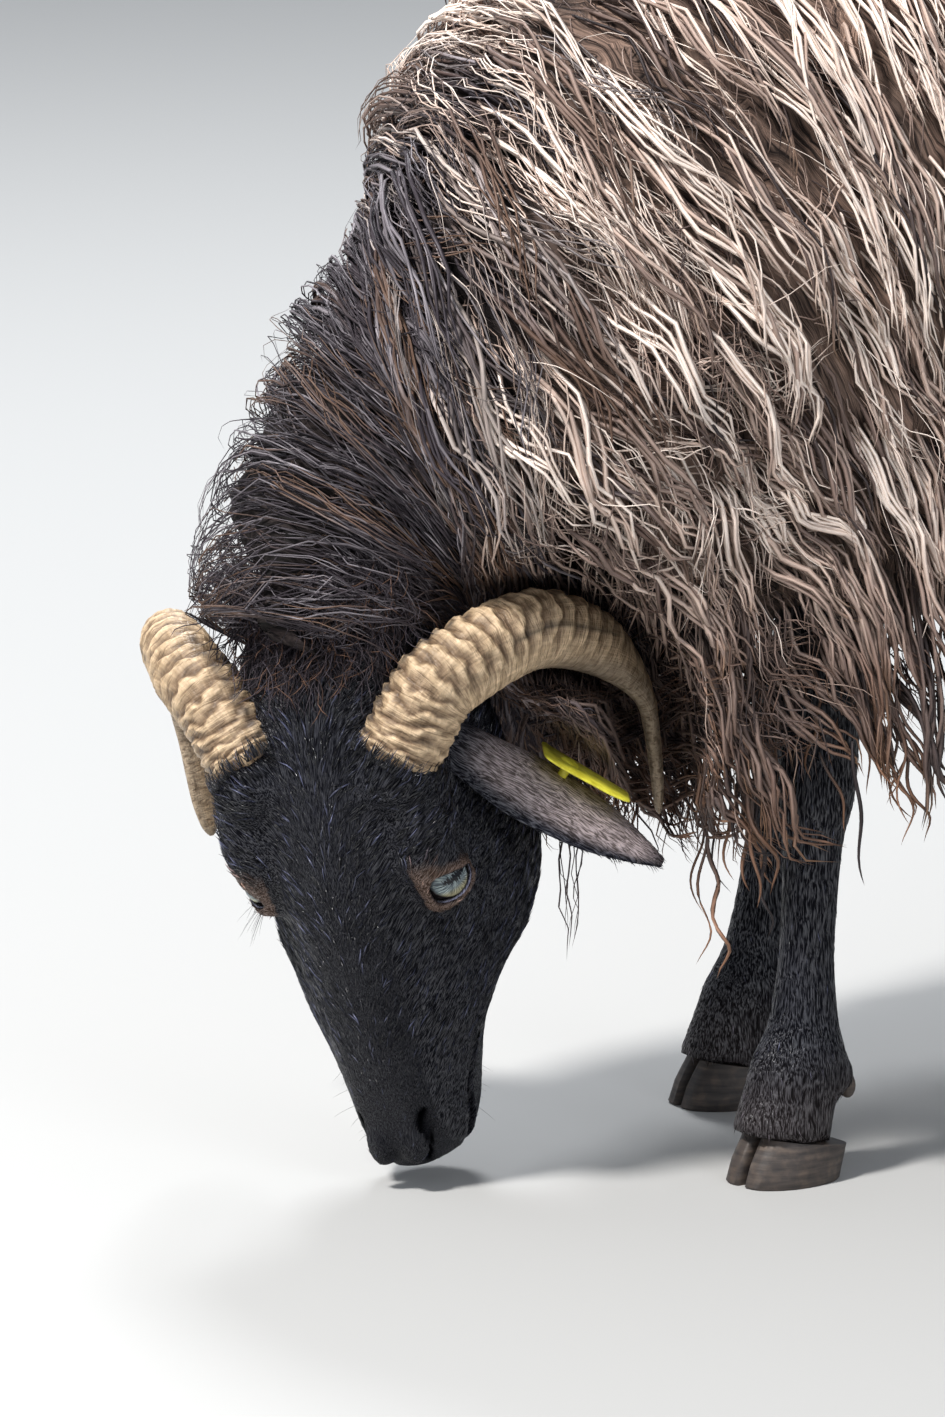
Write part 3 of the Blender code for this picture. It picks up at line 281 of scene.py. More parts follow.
# How far out the wool hangs along the neck, as a share of its width, and how low it ends.
APRON = Profile(
    (-0.25, 1.00, 0.235),
    (0.00, 0.95, 0.230),
    (0.12, 0.72, 0.190),
    (0.30, 0.55, 0.184),
    (0.60, 0.40, 0.186),
    (0.85, 0.25, 0.205),
    (1.00, 0.00, 0.215),
)

HORN_LINE = Profile(
    (0.00, 0.0406, 0.0023, 0.0333, 0.0460, 0.0420),
    (0.20, 0.0674, -0.0132, -0.0039, 0.0455, 0.0400),
    (0.40, 0.0965, -0.0546, -0.0150, 0.0430, 0.0340),
    (0.60, 0.1181, -0.1051, 0.0059, 0.0330, 0.0235),
    (0.80, 0.1290, -0.1361, 0.0514, 0.0225, 0.0095),
    (0.92, 0.1282, -0.1370, 0.0830, 0.0205, 0.0072),
    (1.00, 0.1269, -0.1351, 0.1065, 0.0095, 0.0045),
)
HORN_CURL = (0.083, -0.072, 0.062)

EAR_LENGTH = 0.137
EAR = Profile(
    (0.00, 0.0130, 0.0110, 0.0040),
    (0.16, 0.0180, 0.0140, 0.0036),
    (0.40, 0.0250, 0.0110, 0.0030),
    (0.65, 0.0220, 0.0070, 0.0026),
    (0.87, 0.0120, 0.0030, 0.0022),
    (1.00, 0.0030, 0.0006, 0.0018),
)
EAR_RUN = {"left": (0.727, -0.288, 0.629), "right": (0.275, -0.880, 0.390)}
EAR_BACK = {"left": (0.66, 0.29, -0.69), "right": (0.93, 0.10, -0.35)}
EAR_DROOP = 0.004

FORELEG = Profile(
    (0.000, -0.001, 0.000, 0.0245, 0.0275),
    (0.026, 0.001, 0.000, 0.0235, 0.0275),
    (0.040, 0.005, 0.000, 0.0220, 0.0270),
    (0.058, 0.011, 0.000, 0.0215, 0.0275),
    (0.085, 0.015, 0.000, 0.0160, 0.0190),
    (0.125, 0.017, 0.000, 0.0135, 0.0150),
    (0.175, 0.021, 0.001, 0.0142, 0.0162),
    (0.205, 0.024, 0.002, 0.0195, 0.0210),
    (0.235, 0.028, 0.003, 0.0190, 0.0205),
    (0.290, 0.037, 0.006, 0.0215, 0.0290),
    (0.350, 0.049, 0.010, 0.0260, 0.0360),
)
HINDLEG = Profile(
    (0.000, 0.000, 0.000, 0.0205, 0.0240),
    (0.026, 0.006, 0.000, 0.0195, 0.0230),
    (0.042, 0.011, 0.000, 0.0180, 0.0220),
    (0.060, 0.015, 0.000, 0.0200, 0.0250),
    (0.085, 0.018, 0.000, 0.0145, 0.0175),
    (0.135, 0.028, 0.000, 0.0130, 0.0150),
    (0.190, 0.041, 0.000, 0.0150, 0.0180),
    (0.225, 0.050, 0.000, 0.0185, 0.0250),
    (0.255, 0.050, 0.000, 0.0175, 0.0270),
    (0.295, 0.028, 0.001, 0.0190, 0.0300),
    (0.345, -0.005, 0.002, 0.0260, 0.0420),
    (0.390, -0.035, 0.004, 0.0330, 0.0540),
)
LEGS = {"fore": FORELEG, "hind": HINDLEG}
# How square the sections are. 2 is an ellipse.
BARREL_POWER, NECK_POWER, LEG_POWER, HORN_POWER = 2.3, 2.2, 2.1, 2.15
FEET = {
    "foreleg_left": (0.078, -0.038),
    "foreleg_right": (-0.075, 0.037),
    "hindleg_left": (0.082, 0.600),
    "hindleg_right": (-0.082, 0.560),
}
FOOT_TURN = {"foreleg_left": 6.0, "foreleg_right": -6.0, "hindleg_left": 8.0, "hindleg_right": -8.0}
LEAN = {"foreleg_left": 0.0, "foreleg_right": 0.10, "hindleg_left": 0.0, "hindleg_right": 0.06}
HOOF_LENGTH, HOOF_WIDTH, HOOF_HEIGHT, HOOF_SPLIT = 0.057, 0.0235, 0.031, 0.004
# The height of the hair line over the hooves, and the way up from it, since it falls toward the heels.
CORONET = 0.0235
HAIR_LINE = Vector((0.0, 0.16, 1.0)).normalized()
TAIL = Profile(
    (0.00, 0.640, 0.598, 0.020, 0.018),
    (0.14, 0.680, 0.590, 0.030, 0.024),
    (0.34, 0.702, 0.530, 0.038, 0.028),
    (0.60, 0.706, 0.430, 0.040, 0.028),
    (0.82, 0.702, 0.335, 0.034, 0.024),
    (1.00, 0.696, 0.255, 0.012, 0.010),
)


class Tone(Enum):
    """The colours of wool, hair, horn and skin."""

    CREAM = (0.92, 0.79, 0.70)
    STRAW = (0.64, 0.49, 0.41)
    BEIGE = (0.34, 0.245, 0.205)
    BROWN = (0.140, 0.098, 0.085)
    RED = (0.240, 0.130, 0.082)
    DARK = (0.046, 0.037, 0.038)
    NECK = (0.047, 0.039, 0.046)
    # Silver-grey for painted glints on the dark neck wool.
    SILVER = (0.340, 0.310, 0.335)
    BLACK = (0.0065, 0.0068, 0.0100)
    LID = (0.088, 0.056, 0.040)
    EAR = (0.205, 0.168, 0.158)
    RIM = (0.012, 0.010, 0.011)

    @property
    def array(self) -> np.ndarray:
        """The colour as an array."""
        return np.array(self.value)


class Graph:
    """Short calls to build a material's or a group's nodes."""

    def __init__(self, tree: bpy.types.NodeTree) -> None:
        """Works in the given tree."""
        self.tree = tree

    def add(self, kind: str, inputs: dict | None = None, **settings: object) -> bpy.types.Node:
        """Adds a node.

        Args:
            kind: the node's type, without the word ShaderNode in front.
            inputs: values or output sockets by input name or number.
            settings: the node's own properties.

        Returns:
            The new node.
        """
        node = self.tree.nodes.new("ShaderNode" + kind)
        for key, value in settings.items():
            setattr(node, key, value)
        self.feed(node, inputs or {})
        return node

    def feed(self, node: bpy.types.Node, inputs: dict) -> None:
        """Sets a node's inputs, by name or number, to values or to other nodes' outputs."""
        for key, value in inputs.items():
            if isinstance(value, bpy.types.NodeSocket):
                self.tree.links.new(value, node.inputs[key])
            else:
                node.inputs[key].default_value = value

    def ramp(self, factor: bpy.types.NodeSocket, *stops: tuple[float, Colour]) -> bpy.types.NodeSocket:
        """A colour ramp through the stops."""
        node = self.add("ValToRGB", {"Fac": factor})
        ramp = node.color_ramp
        while len(ramp.elements) < len(stops):
            ramp.elements.new(0.5)
        for element, (place, colour) in zip(ramp.elements, stops):
            element.position = place
            element.color = (*colour, 1.0)
        return node.outputs["Color"]

    def mix(self, factor: object, first: object, second: object, blend: str = "MIX") -> bpy.types.NodeSocket:
        """One colour over another."""
        node = self.add("Mix", {"Factor": factor}, data_type="RGBA", blend_type=blend)
        for name, value in (("A", first), ("B", second)):
            socket = next(s for s in node.inputs if s.name == name and s.type == "RGBA")
            if isinstance(value, bpy.types.NodeSocket):
                self.tree.links.new(value, socket)
            else:
                socket.default_value = (*value, 1.0)
        return next(s for s in node.outputs if s.type == "RGBA")

    def math(self, operation: str, *values: object) -> bpy.types.NodeSocket:
        """A math node's result."""
        return self.add("Math", dict(enumerate(values)), operation=operation).outputs[0]

    def noise(self, place: object, scale: float, detail: float, **more: float) -> bpy.types.NodeSocket:
        """A noise texture's value at a place."""
        inputs = {"Vector": place, "Scale": scale, "Detail": detail, **more}
        return self.add("TexNoise", inputs).outputs["Fac"]

    def scaled(self, place: object, scale: tuple[float, float, float]) -> bpy.types.NodeSocket:
        """A place with each axis scaled."""
        return self.add("Mapping", {"Vector": place, "Scale": scale}).outputs[0]

    def spread(self, value: object, *ends: float) -> bpy.types.NodeSocket:
        """A value moved from the range of the first two ends to that of the last two, and held inside it."""
        return self.add("MapRange", {"Value": value, **dict(enumerate(ends, 1))}).outputs[0]

    def bump(self, height: object, strength: float, distance: float) -> bpy.types.NodeSocket:
        """The normal of a bumpy surface."""
        node = self.add("Bump", {"Strength": strength, "Distance": distance, "Height": height})
        return node.outputs["Normal"]

    def swirled(self, place: object, seen: object, scale: float, reach: float) -> bpy.types.NodeSocket:
        """A place moved a little to and fro.

        Args:
            place: the place.
            seen: where the movement is read.
            scale: how fine the movement is.
            reach: how far it goes.
        """
        bent = self.add("TexNoise", {"Vector": seen, "Scale": scale, "Detail": 1.0})
        centred = self.add("VectorMath", {0: bent.outputs["Color"], 1: (0.5, 0.5, 0.5)}, operation="SUBTRACT")
        swirl = self.add("VectorMath", {0: centred.outputs[0], "Scale": reach}, operation="SCALE")
        return self.add("VectorMath", {0: place, 1: swirl.outputs[0]}, operation="ADD").outputs[0]

    def tint(self) -> bpy.types.Node:
        """The colour and gloss painted on the mesh."""
        return self.add("Attribute", attribute_name="tint", attribute_type="GEOMETRY")

    def lined(
        self, tint: bpy.types.NodeSocket, uv: object, across: float, along: float, contrast: float
    ) -> tuple:
        """Fine lines along a strand, drawn on its colour.

        Args:
            tint: the colour.
            uv: the place on the strand.
            across, along: how fine the lines are in each direction.
            contrast: how strong they are.

        Returns:
            The colour with its lines, and their height.
        """
        lines = self.add("Group", {}, node_tree=fibre_group())
        self.feed(lines, {"Place": uv, "Across": across, "Along": along, "Contrast": contrast})
        grey = self.add("CombineColor", {i: lines.outputs["Brightness"] for i in range(3)})
        return self.mix(1.0, tint, grey.outputs["Color"], "MULTIPLY"), lines.outputs["Height"]


def fibre_group() -> bpy.types.NodeTree:
    """The group that draws fine lines along a strand, as a brightness and a height."""
    found = bpy.data.node_groups.get("fibres")
    if found:
        return found
    tree = bpy.data.node_groups.new("fibres", "ShaderNodeTree")
    tree.interface.new_socket("Place", in_out="INPUT", socket_type="NodeSocketVector")
    for name in ("Across", "Along", "Contrast"):
        tree.interface.new_socket(name, in_out="INPUT", socket_type="NodeSocketFloat")
    for name in ("Brightness", "Height"):
        tree.interface.new_socket(name, in_out="OUTPUT", socket_type="NodeSocketFloat")
    g = Graph(tree)
    given = tree.nodes.new("NodeGroupInput")
    result = tree.nodes.new("NodeGroupOutput")
    parts = g.add("SeparateXYZ", {"Vector": given.outputs["Place"]})
    across = g.math("MULTIPLY", parts.outputs["X"], given.outputs["Across"])
    along = g.math("MULTIPLY", parts.outputs["Y"], given.outputs["Along"])
    place = g.add("CombineXYZ", {"X": across, "Y": along, "Z": parts.outputs["Z"]})
    height = g.noise(place.outputs[0], 1.0, 2.0, Roughness=0.6)
    spread = g.math("MULTIPLY", g.math("SUBTRACT", height, 0.5), given.outputs["Contrast"])
    g.feed(result, {"Brightness": g.math("ADD", spread, 1.0), "Height": height})
    return tree


@dataclass(frozen=True)
class Finish:
    """A material, built the first time that a piece asks for it."""

    name: str

    def material(self) -> bpy.types.Material:
        """The material."""
        found = bpy.data.materials.get(self.name)
        if found:
            return found
        made = bpy.data.materials.new(self.name)
        made.use_nodes = True
        self.paint(Graph(made.node_tree), made.node_tree.nodes["Principled BSDF"])
        return made

    def paint(self, g: Graph, shader: bpy.types.Node) -> None:
        """Builds the nodes that feed the shader, which each finish does in its own way."""
        raise NotImplementedError


@dataclass(frozen=True)
class Wool(Finish):
    """A finish for strands: their own colours, fine lines along them and a soft gloss."""

    name: str = "long wool"
    roughness: float = 0.55
    specular: float = 0.34
    across: float = 7.0
    along: float = 60.0
    contrast: float = 0.9
    depth: float = 0.0004

    def paint(self, g: Graph, shader: bpy.types.Node) -> None:
        """Draws the lines, and lets the light ones shine."""
        tint = g.tint()
        uv = g.add("UVMap", uv_map="strand").outputs["UV"]
        colour, height = g.lined(tint.outputs["Color"], uv, self.across, self.along, self.contrast)
        normal = g.bump(height, 0.6, self.depth)
        g.feed(shader, {"Base Color": colour, "Normal": normal, "Roughness": self.roughness})
        gloss = g.spread(height, 0.42, 0.62, self.specular * 0.15, self.specular * 1.30)
        g.feed(shader, {"Specular IOR Level": gloss})


LONG_WOOL = Wool()
SHORT = Wool("short hair", 0.30, 0.8, 2.0, 90.0, 0.6, 0.0002)


@dataclass(frozen=True)
class Skin(Finish):
    """A finish for skin under short hair: its own colours, with the lie of the hair drawn on them."""

    name: str = "skin under hair"

    def paint(self, g: Graph, shader: bpy.types.Node) -> None:
        """Draws hair along the lie, glossy where it is light and the skin's own gloss allows."""
        tint = g.tint()
        lie = g.add("Attribute", attribute_name="lie", attribute_type="GEOMETRY").outputs["Vector"]
        fine = g.noise(g.scaled(g.swirled(lie, lie, 70.0, 0.004), (1300.0, 130.0, 1300.0)), 1.0, 2.0)
        shade = g.ramp(fine, (0.38, (0.45, 0.45, 0.45)), (0.66, (2.3, 2.3, 2.5)))
        colour = g.mix(1.0, tint.outputs["Color"], shade, "MULTIPLY")
        normal = g.bump(fine, 0.9, 0.0012)
        rough = g.spread(fine, 0.4, 0.65, 0.62, 0.34)
        shine = g.math("MULTIPLY", g.spread(fine, 0.44, 0.64, 0.03, 0.95), tint.outputs["Alpha"])
        inputs = {"Base Color": colour, "Normal": normal, "Roughness": rough, "Specular IOR Level": shine}
        g.feed(shader, inputs)


@dataclass(frozen=True)
class HornFinish(Finish):
    """Straw-tan horn: its own colours, worn, finely lined along it and creased across it."""

    name: str = "ribbed horn"

    def paint(self, g: Graph, shader: bpy.types.Node) -> None:
        """Draws the grain, the wear and the creases."""
        tint = g.tint()
        uv = g.add("UVMap", uv_map="strand").outputs["UV"]
        colour, grain = g.lined(tint.outputs["Color"], uv, 60.0, 12.0, 0.80)
        specks = g.noise(g.add("TexCoord").outputs["Object"], 210.0, 5.0)
        worn = g.ramp(specks, (0.40, (0.80, 0.76, 0.70)), (0.60, (1.08, 1.06, 1.02)))
        colour = g.mix(1.0, colour, worn, "MULTIPLY")
        creases = g.noise(g.scaled(uv, (7.0, 130.0, 1.0)), 1.0, 4.0, Distortion=1.2)
        cracks = g.ramp(creases, (0.36, (0.42, 0.37, 0.32)), (0.50, (1.04, 1.03, 1.0)))
        colour = g.mix(0.8, colour, cracks, "MULTIPLY")
        height = g.math("ADD", g.math("ADD", grain, specks), g.math("MULTIPLY", creases, 2.2))
        normal = g.bump(height, 0.75, 0.0009)
        rough = g.spread(specks, 0.0, 1.0, 0.36, 0.60)
        inputs = {"Base Color": colour, "Normal": normal, "Roughness": rough, "Specular IOR Level": 0.4}
        g.feed(shader, inputs)


@dataclass(frozen=True)
class Felt(Finish):
    """A finish for felted wool: its own colours under fine fibres that follow its lie."""

    name: str = "felted wool"

    def paint(self, g: Graph, shader: bpy.types.Node) -> None:
        """Draws wide locks and fine fibres over each other, with painted shade in the gaps between the locks.
        """
        tint = g.tint()
        place = g.add("TexCoord").outputs["Object"]
        lie = g.swirled(g.add("UVMap", uv_map="strand").outputs["UV"], place, 32.0, 0.009)
        locks = g.noise(g.scaled(lie, (430.0, 20.0, 1.0)), 1.0, 2.0)
        fine = g.noise(g.scaled(lie, (2100.0, 60.0, 1.0)), 1.0, 2.0)
        both = g.math("ADD", g.math("MULTIPLY", locks, 0.6), g.math("MULTIPLY", fine, 0.4))
        # The streaks are the fibres' own; the near black between the locks is painted shade.
        shade = g.ramp(both, (0.40, (0.07, 0.06, 0.06)), (0.66, (1.35, 1.25, 1.15)))
        colour = g.mix(1.0, tint.outputs["Color"], shade, "MULTIPLY")
        normal = g.bump(both, 0.9, 0.0030)
        g.feed(shader, {"Base Color": colour, "Normal": normal, "Roughness": 0.8, "Specular IOR Level": 0.25})


@dataclass(frozen=True)
class EyeFinish(Finish):
    """A wet eye: a blue-grey iris, yellowish below and dark at its edge, with a long toothed pupil."""

    name: str = "wet eye"
    iris_at: tuple[float, float] = (-0.12, 0.24)
    pupil_at: float = 0.08
    pupil_half: tuple[float, float] = (0.62, 0.15)

    def paint(self, g: Graph, shader: bpy.types.Node) -> None:
        """Draws iris, pupil and edge round the middle of the iris."""
        parts = g.add("SeparateXYZ", {"Vector": g.add("UVMap", uv_map="strand").outputs["UV"]})
        x = g.math("ADD", parts.outputs["X"], -self.iris_at[0])
        y = g.math("SUBTRACT", parts.outputs["Y"], self.iris_at[1])
        radius = g.math("SQRT", g.math("ADD", g.math("MULTIPLY", x, x), g.math("MULTIPLY", y, y)))
        angle = g.math("ARCTAN2", y, x)
        around, outward = g.math("MULTIPLY", angle, 9.0), g.math("MULTIPLY", radius, 1.3)
        place = g.add("CombineXYZ", {"X": around, "Y": outward})
        spokes = g.noise(place.outputs[0], 1.9, 3.0)
        blue = ((0.36, (0.022, 0.028, 0.036)), (0.52, (0.130, 0.165, 0.180)), (0.68, (0.46, 0.53, 0.50)))
        cool = g.ramp(spokes, *blue)
        warm = g.ramp(spokes, (0.36, (0.125, 0.118, 0.070)), (0.62, (0.42, 0.39, 0.25)))
        iris = g.mix(g.spread(y, -0.30, -0.55, 0.0, 1.0), cool, warm)
        teeth = g.add("CombineXYZ", {"X": g.math("MULTIPLY", x, 15.0), "Y": g.math("MULTIPLY", y, 2.0)})
        jags = g.noise(teeth.outputs[0], 1.0, 2.0)
        high = g.math("ADD", y, g.math("MULTIPLY", g.math("SUBTRACT", jags, 0.58), 0.70))
        across = g.math("DIVIDE", g.math("SUBTRACT", x, self.pupil_at), self.pupil_half[0])
        up = g.math("DIVIDE", high, self.pupil_half[1])
        pupil = g.math("ADD", g.math("POWER", g.math("ABSOLUTE", across), 3.0), g.math("MULTIPLY", up, up))
        colour = g.mix(g.spread(pupil, 0.60, 1.25, 1.0, 0.0), iris, (0.006, 0.007, 0.010))
        colour = g.mix(g.spread(radius, 0.76, 0.86, 0.0, 1.0), colour, (0.012, 0.009, 0.010))
        g.feed(shader, {"Base Color": colour, "Roughness": 0.12, "Specular IOR Level": 0.22})
        g.feed(shader, {"Coat Weight": 0.15, "Coat Roughness": 0.03})


@dataclass(frozen=True)
class HoofFinish(Finish):
    """Dark grey-brown horn with growth rings, dull and scuffed."""

    name: str = "hoof horn"

    def paint(self, g: Graph, shader: bpy.types.Node) -> None:
        """Draws the rings and the scuffs."""
        place = g.add("TexCoord").outputs["Object"]
        bands = g.noise(g.scaled(place, (40.0, 40.0, 420.0)), 1.0, 4.0)
        scuff = g.noise(place, 160.0, 6.0)
        colour = g.ramp(bands, (0.30, (0.026, 0.021, 0.020)), (0.70, (0.085, 0.066, 0.056)))
        dust = g.ramp(scuff, (0.45, (0.8, 0.8, 0.8)), (0.65, (1.35, 1.28, 1.15)))
        colour = g.mix(1.0, colour, dust, "MULTIPLY")
        height = g.math("ADD", bands, g.math("MULTIPLY", scuff, 0.5))
        g.feed(shader, {"Base Color": colour, "Normal": g.bump(height, 0.5, 0.0006), "Roughness": 0.58})


@dataclass(frozen=True)
class TagFinish(Finish):
    """Bare flexible yellow plastic, a little scratched."""

    name: str = "yellow plastic"

    def paint(self, g: Graph, shader: bpy.types.Node) -> None:
        """Draws the grime, and lets a little light in."""
        grime = g.noise(g.add("TexCoord").outputs["Object"], 130.0, 5.0)
        colour = g.ramp(grime, (0.35, (0.58, 0.52, 0.035)), (0.62, (0.86, 0.80, 0.075)))
        g.feed(shader, {"Base Color": colour, "Normal": g.bump(grime, 0.3, 0.0003), "Roughness": 0.38})
        g.feed(shader, {"Subsurface Weight": 0.15, "Subsurface Radius": (0.004, 0.004, 0.001)})


@dataclass(frozen=True)
class FloorFinish(Finish):
    """A plain pale dull floor."""

    name: str = "pale floor"

    def paint(self, g: Graph, shader: bpy.types.Node) -> None:
        """Sets the colour."""
        g.feed(shader, {"Base Color": (0.50, 0.50, 0.49, 1.0), "Roughness": 0.9})


def coordinates(mesh: bpy.types.Mesh) -> np.ndarray:
    """The places of a mesh's vertices."""
    points = np.empty(len(mesh.vertices) * 3, np.float32)
    mesh.vertices.foreach_get("co", points)
    return points.reshape(-1, 3).astype(float)


def linked(name: str, data: bpy.types.ID) -> bpy.types.Object:
    """An object of the scene with the given data."""
    made = bpy.data.objects.new(name, data)
    bpy.context.scene.collection.objects.link(made)
    return made


def meshed(name: str, bm: bmesh.types.BMesh) -> bpy.types.Object:
    """Turns a bmesh into a smooth object of the scene, and frees it."""
    mesh = bpy.data.meshes.new(name)
    bm.to_mesh(mesh)
    bm.free()
    mesh.shade_smooth()
    return linked(name, mesh)


def plain_mesh(name: str, bm: bmesh.types.BMesh) -> bpy.types.Object:
    """The same, with the faces turned outward first."""
    bm.normal_update()
    bmesh.ops.recalc_face_normals(bm, faces=bm.faces)
    return meshed(name, bm)


def closed(bm: bmesh.types.BMesh) -> bmesh.types.BMesh:
    """Fills a bmesh's open ends."""
    bmesh.ops.holes_fill(bm, edges=[e for e in bm.edges if e.is_boundary], sides=0)
    return bm


def cut_off(bm: bmesh.types.BMesh, at: Vector, way: Vector) -> bmesh.types.BMesh:
    """Takes away what lies past a plane, and closes the cut."""
    everything = bm.verts[:] + bm.edges[:] + bm.faces[:]
    bmesh.ops.bisect_plane(bm, geom=everything, plane_co=at, plane_no=way, clear_outer=True)
    return closed(bm)


def baked(thing: bpy.types.Object) -> bpy.types.Object:
    """Applies an object's modifiers to its mesh."""
    graph = bpy.context.evaluated_depsgraph_get()
    graph.update()
    mesh = bpy.data.meshes.new_from_object(thing.evaluated_get(graph))
    old = thing.data
    thing.modifiers.clear()
    thing.data = mesh
    bpy.data.meshes.remove(old)
    mesh.shade_smooth()
    return thing


def remeshed(thing: bpy.types.Object, voxel: float, smoothing: int) -> bpy.types.Object:
    """Fuses an object's overlapping shells into one even surface and rounds it a little."""
    fuse = thing.modifiers.new("fuse", "REMESH")
    fuse.mode = "VOXEL"
    fuse.voxel_size = voxel
    fuse.use_smooth_shade = True
    if smoothing:
        smooth = thing.modifiers.new("smooth", "SMOOTH")
        smooth.iterations = smoothing
        smooth.factor = 0.5
    return baked(thing)


def cut_from(thing: bpy.types.Object, cutters: Sequence[bpy.types.Object]) -> bpy.types.Object:
    """Takes the cutters out of an object and removes them."""
    for cutter in cutters:
        cut = thing.modifiers.new("cut", "BOOLEAN")
        cut.operation = "DIFFERENCE"
        cut.solver = "MANIFOLD"
        cut.object = cutter
    baked(thing)
    for cutter in cutters:
        bpy.data.objects.remove(cutter)
    return thing


def merged(things: Sequence[bpy.types.Object], name: str) -> bpy.types.Object:
    """Joins the meshes of several objects in one, in their order."""
    bm = bmesh.new()
    for thing in things:
        bm.from_mesh(thing.data)
    for thing in things:
        bpy.data.objects.remove(thing)
    return meshed(name, bm)


def wrapped(rings: Sequence[Sequence[Vector]], with_uv: bool = False) -> bmesh.types.BMesh:
    """A grid wrapped round through rings of points, its seam welded and its ends closed.

    Args:
        rings: the points of each ring, the same number in each.
        with_uv: whether the grid's own map is kept, as a map named strand.

    Returns:
        The closed tube.
    """
    bm = bmesh.new()
    count, sides = len(rings), len(rings[0])
    layer = bm.loops.layers.uv.new("strand") if with_uv else None
    bmesh.ops.create_grid(bm, x_segments=count - 1, y_segments=sides, size=0.5)
    places = {}
    for vert in bm.verts:
        i = round((vert.co.x + 0.5) * (count - 1))
        j = round((vert.co.y + 0.5) * sides)
        places[vert] = (i, j)
        vert.co = rings[i][j % sides]
    if layer:
        for face in bm.faces:
            for loop in face.loops:
                i, j = places[loop.vert]
                loop[layer].uv = (j / sides, i / (count - 1))
    bmesh.ops.remove_doubles(bm, verts=bm.verts, dist=1e-7)
    return closed(bm)


def rounded(points: Sequence[Vector], count: int) -> list[Vector]:
    """A closed smooth curve through the points, read at an even number of places."""
    base = np.array([tuple(p) for p in points])
    size = len(base)
    at = np.arange(count) * size / count
    i = at.astype(int)
    t = (at - i)[:, None]
    a, b, c, d = (base[(i + k) % size] for k in (-1, 0, 1, 2))
    found = 0.5 * (2 * b + (c - a) * t + (2 * a - 5 * b + 4 * c - d) * t**2 + (3 * b - a - 3 * c + d) * t**3)
    return [Vector(p) for p in found]


LID_LINE = rounded([Vector((*p, 0.0)) for p in LIDS], 448)


def ball(
    centre: Vector, size: Sequence[float], axes: Sequence[Vector], segments: int = 32
) -> bmesh.types.BMesh:
    """An ellipsoid with its half sizes along the given axes."""
    bm = bmesh.new()
    bmesh.ops.create_uvsphere(bm, u_segments=segments, v_segments=segments // 2, radius=1.0)
    turn = Matrix([tuple(a) for a in axes]).transposed()
    for vert in bm.verts:
        vert.co = centre + turn @ Vector([c * s for c, s in zip(vert.co, size)])
    return bm


def placed(thing: bpy.types.Object, finish: Finish, slot: str, *nodes: str) -> bpy.types.Object:
    """Args:
        thing: the piece, laid out from the fore feet.
        finish: what it is made of.
        slot: the record's material slot, not used here.
        nodes: the solids that it stands for.

    Returns:
        The same piece.
    """
    thing.data.transform(Matrix.Translation(TO_ORIGIN))
    thing.data.materials.clear()
    thing.data.materials.append(finish.material())
    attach(thing, BODY)
    if nodes:
        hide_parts(*nodes)
    LOG.info("%s: %d faces", thing.name, len(thing.data.polygons))
    return thing


def painted(mesh: bpy.types.Mesh, colours: np.ndarray, shine: np.ndarray | float = 1.0) -> None:
    """Stores each vertex's colour, and its gloss in the last channel, in the attribute that finishes read."""
    layer = mesh.color_attributes.new("tint", "FLOAT_COLOR", "POINT")
    full = np.ones((len(mesh.vertices), 4), np.float32)
    full[:, :3] = colours
    full[:, 3] = shine
    layer.data.foreach_set("color", full.ravel())


def barrel_ring(y: float, sides: int) -> list[Vector]:
    """The barrel's section at y."""
    back, belly, half, level = BARREL(y)
    reach = {True: back - level, False: level - belly}
    places = ovals(sides, BARREL_POWER)
    return [Vector((wide * half, y, level + high * reach[high > 0])) for wide, high in places]


def neck_frame(t: float) -> tuple[Vector, Vector, Vector, float]:
    """The neck at a share t of its length.

    Returns:
        The middle of its section, half its depth toward the crest, its line to the left and half its width.
    """
    *lines, half = NECK(t)
    crest, throat = Vector(lines[:3]), Vector(lines[3:])
    ends = []
    for step in (-0.06, 0.06):
        values = NECK(float(np.clip(t + step, -0.25, 1.0)))
        ends.append(Vector(values[0:3] + values[3:6]) / 2)
    run = (ends[1] - ends[0]).normalized()
    deep = (crest - throat) / 2
    return (crest + throat) / 2, deep, deep.cross(run).normalized(), half


def neck_ring(t: float, sides: int) -> list[Vector]:
    """The neck's section at a share t of its length."""
    middle, deep, across, half = neck_frame(t)
    return [middle + across * (wide * half) + deep * high for wide, high in ovals(sides, NECK_POWER)]


def skull_ring(along: float, sides: int) -> list[Vector]:
    """The head's section at a distance along the nose."""
    top, bottom, *halves = SKULL(along)
    side = [(0.0, top)]
    side += [(half, top + (bottom - top) * down) for down, half in zip(DEPTHS, halves)]
    side += [(halves[-1] * 0.45, bottom), (0.0, bottom)]
    left = [HEAD.point(half, up, along) for half, up in side]
    right = [HEAD.point(-half, up, along) for half, up in side[-2:0:-1]]
    return rounded(left + right, sides)


def eye_axes(side: float) -> tuple[Vector, Vector, Vector]:
    """The way an eye looks, the line from its inner to its outer corner, and upward from its lids."""
    look, corner = HEAD.toward(side, EYE_TURN[side]), HEAD.toward(side, EYE_CORNER)
    corner = (corner - look * corner.dot(look)).normalized()
    return look, corner, look.cross(corner) * side


def eye_centre(side: float) -> Vector:
    """The middle of an eyeball."""
    return HEAD.on(side, EYE_AT[side])


def from_eye(side: float, points: np.ndarray) -> tuple[np.ndarray, np.ndarray, np.ndarray, np.ndarray]:
    """Places as seen from an eye.

    Args:
        side: which eye.
        points: the places.

    Returns:
        The way to them from its middle, then how far that goes outward, toward its outer corner and up.
    """
    look, corner, up = (np.array(v) for v in eye_axes(side))
    away = points - np.array(eye_centre(side))
    return away, away @ look, away @ corner, away @ up


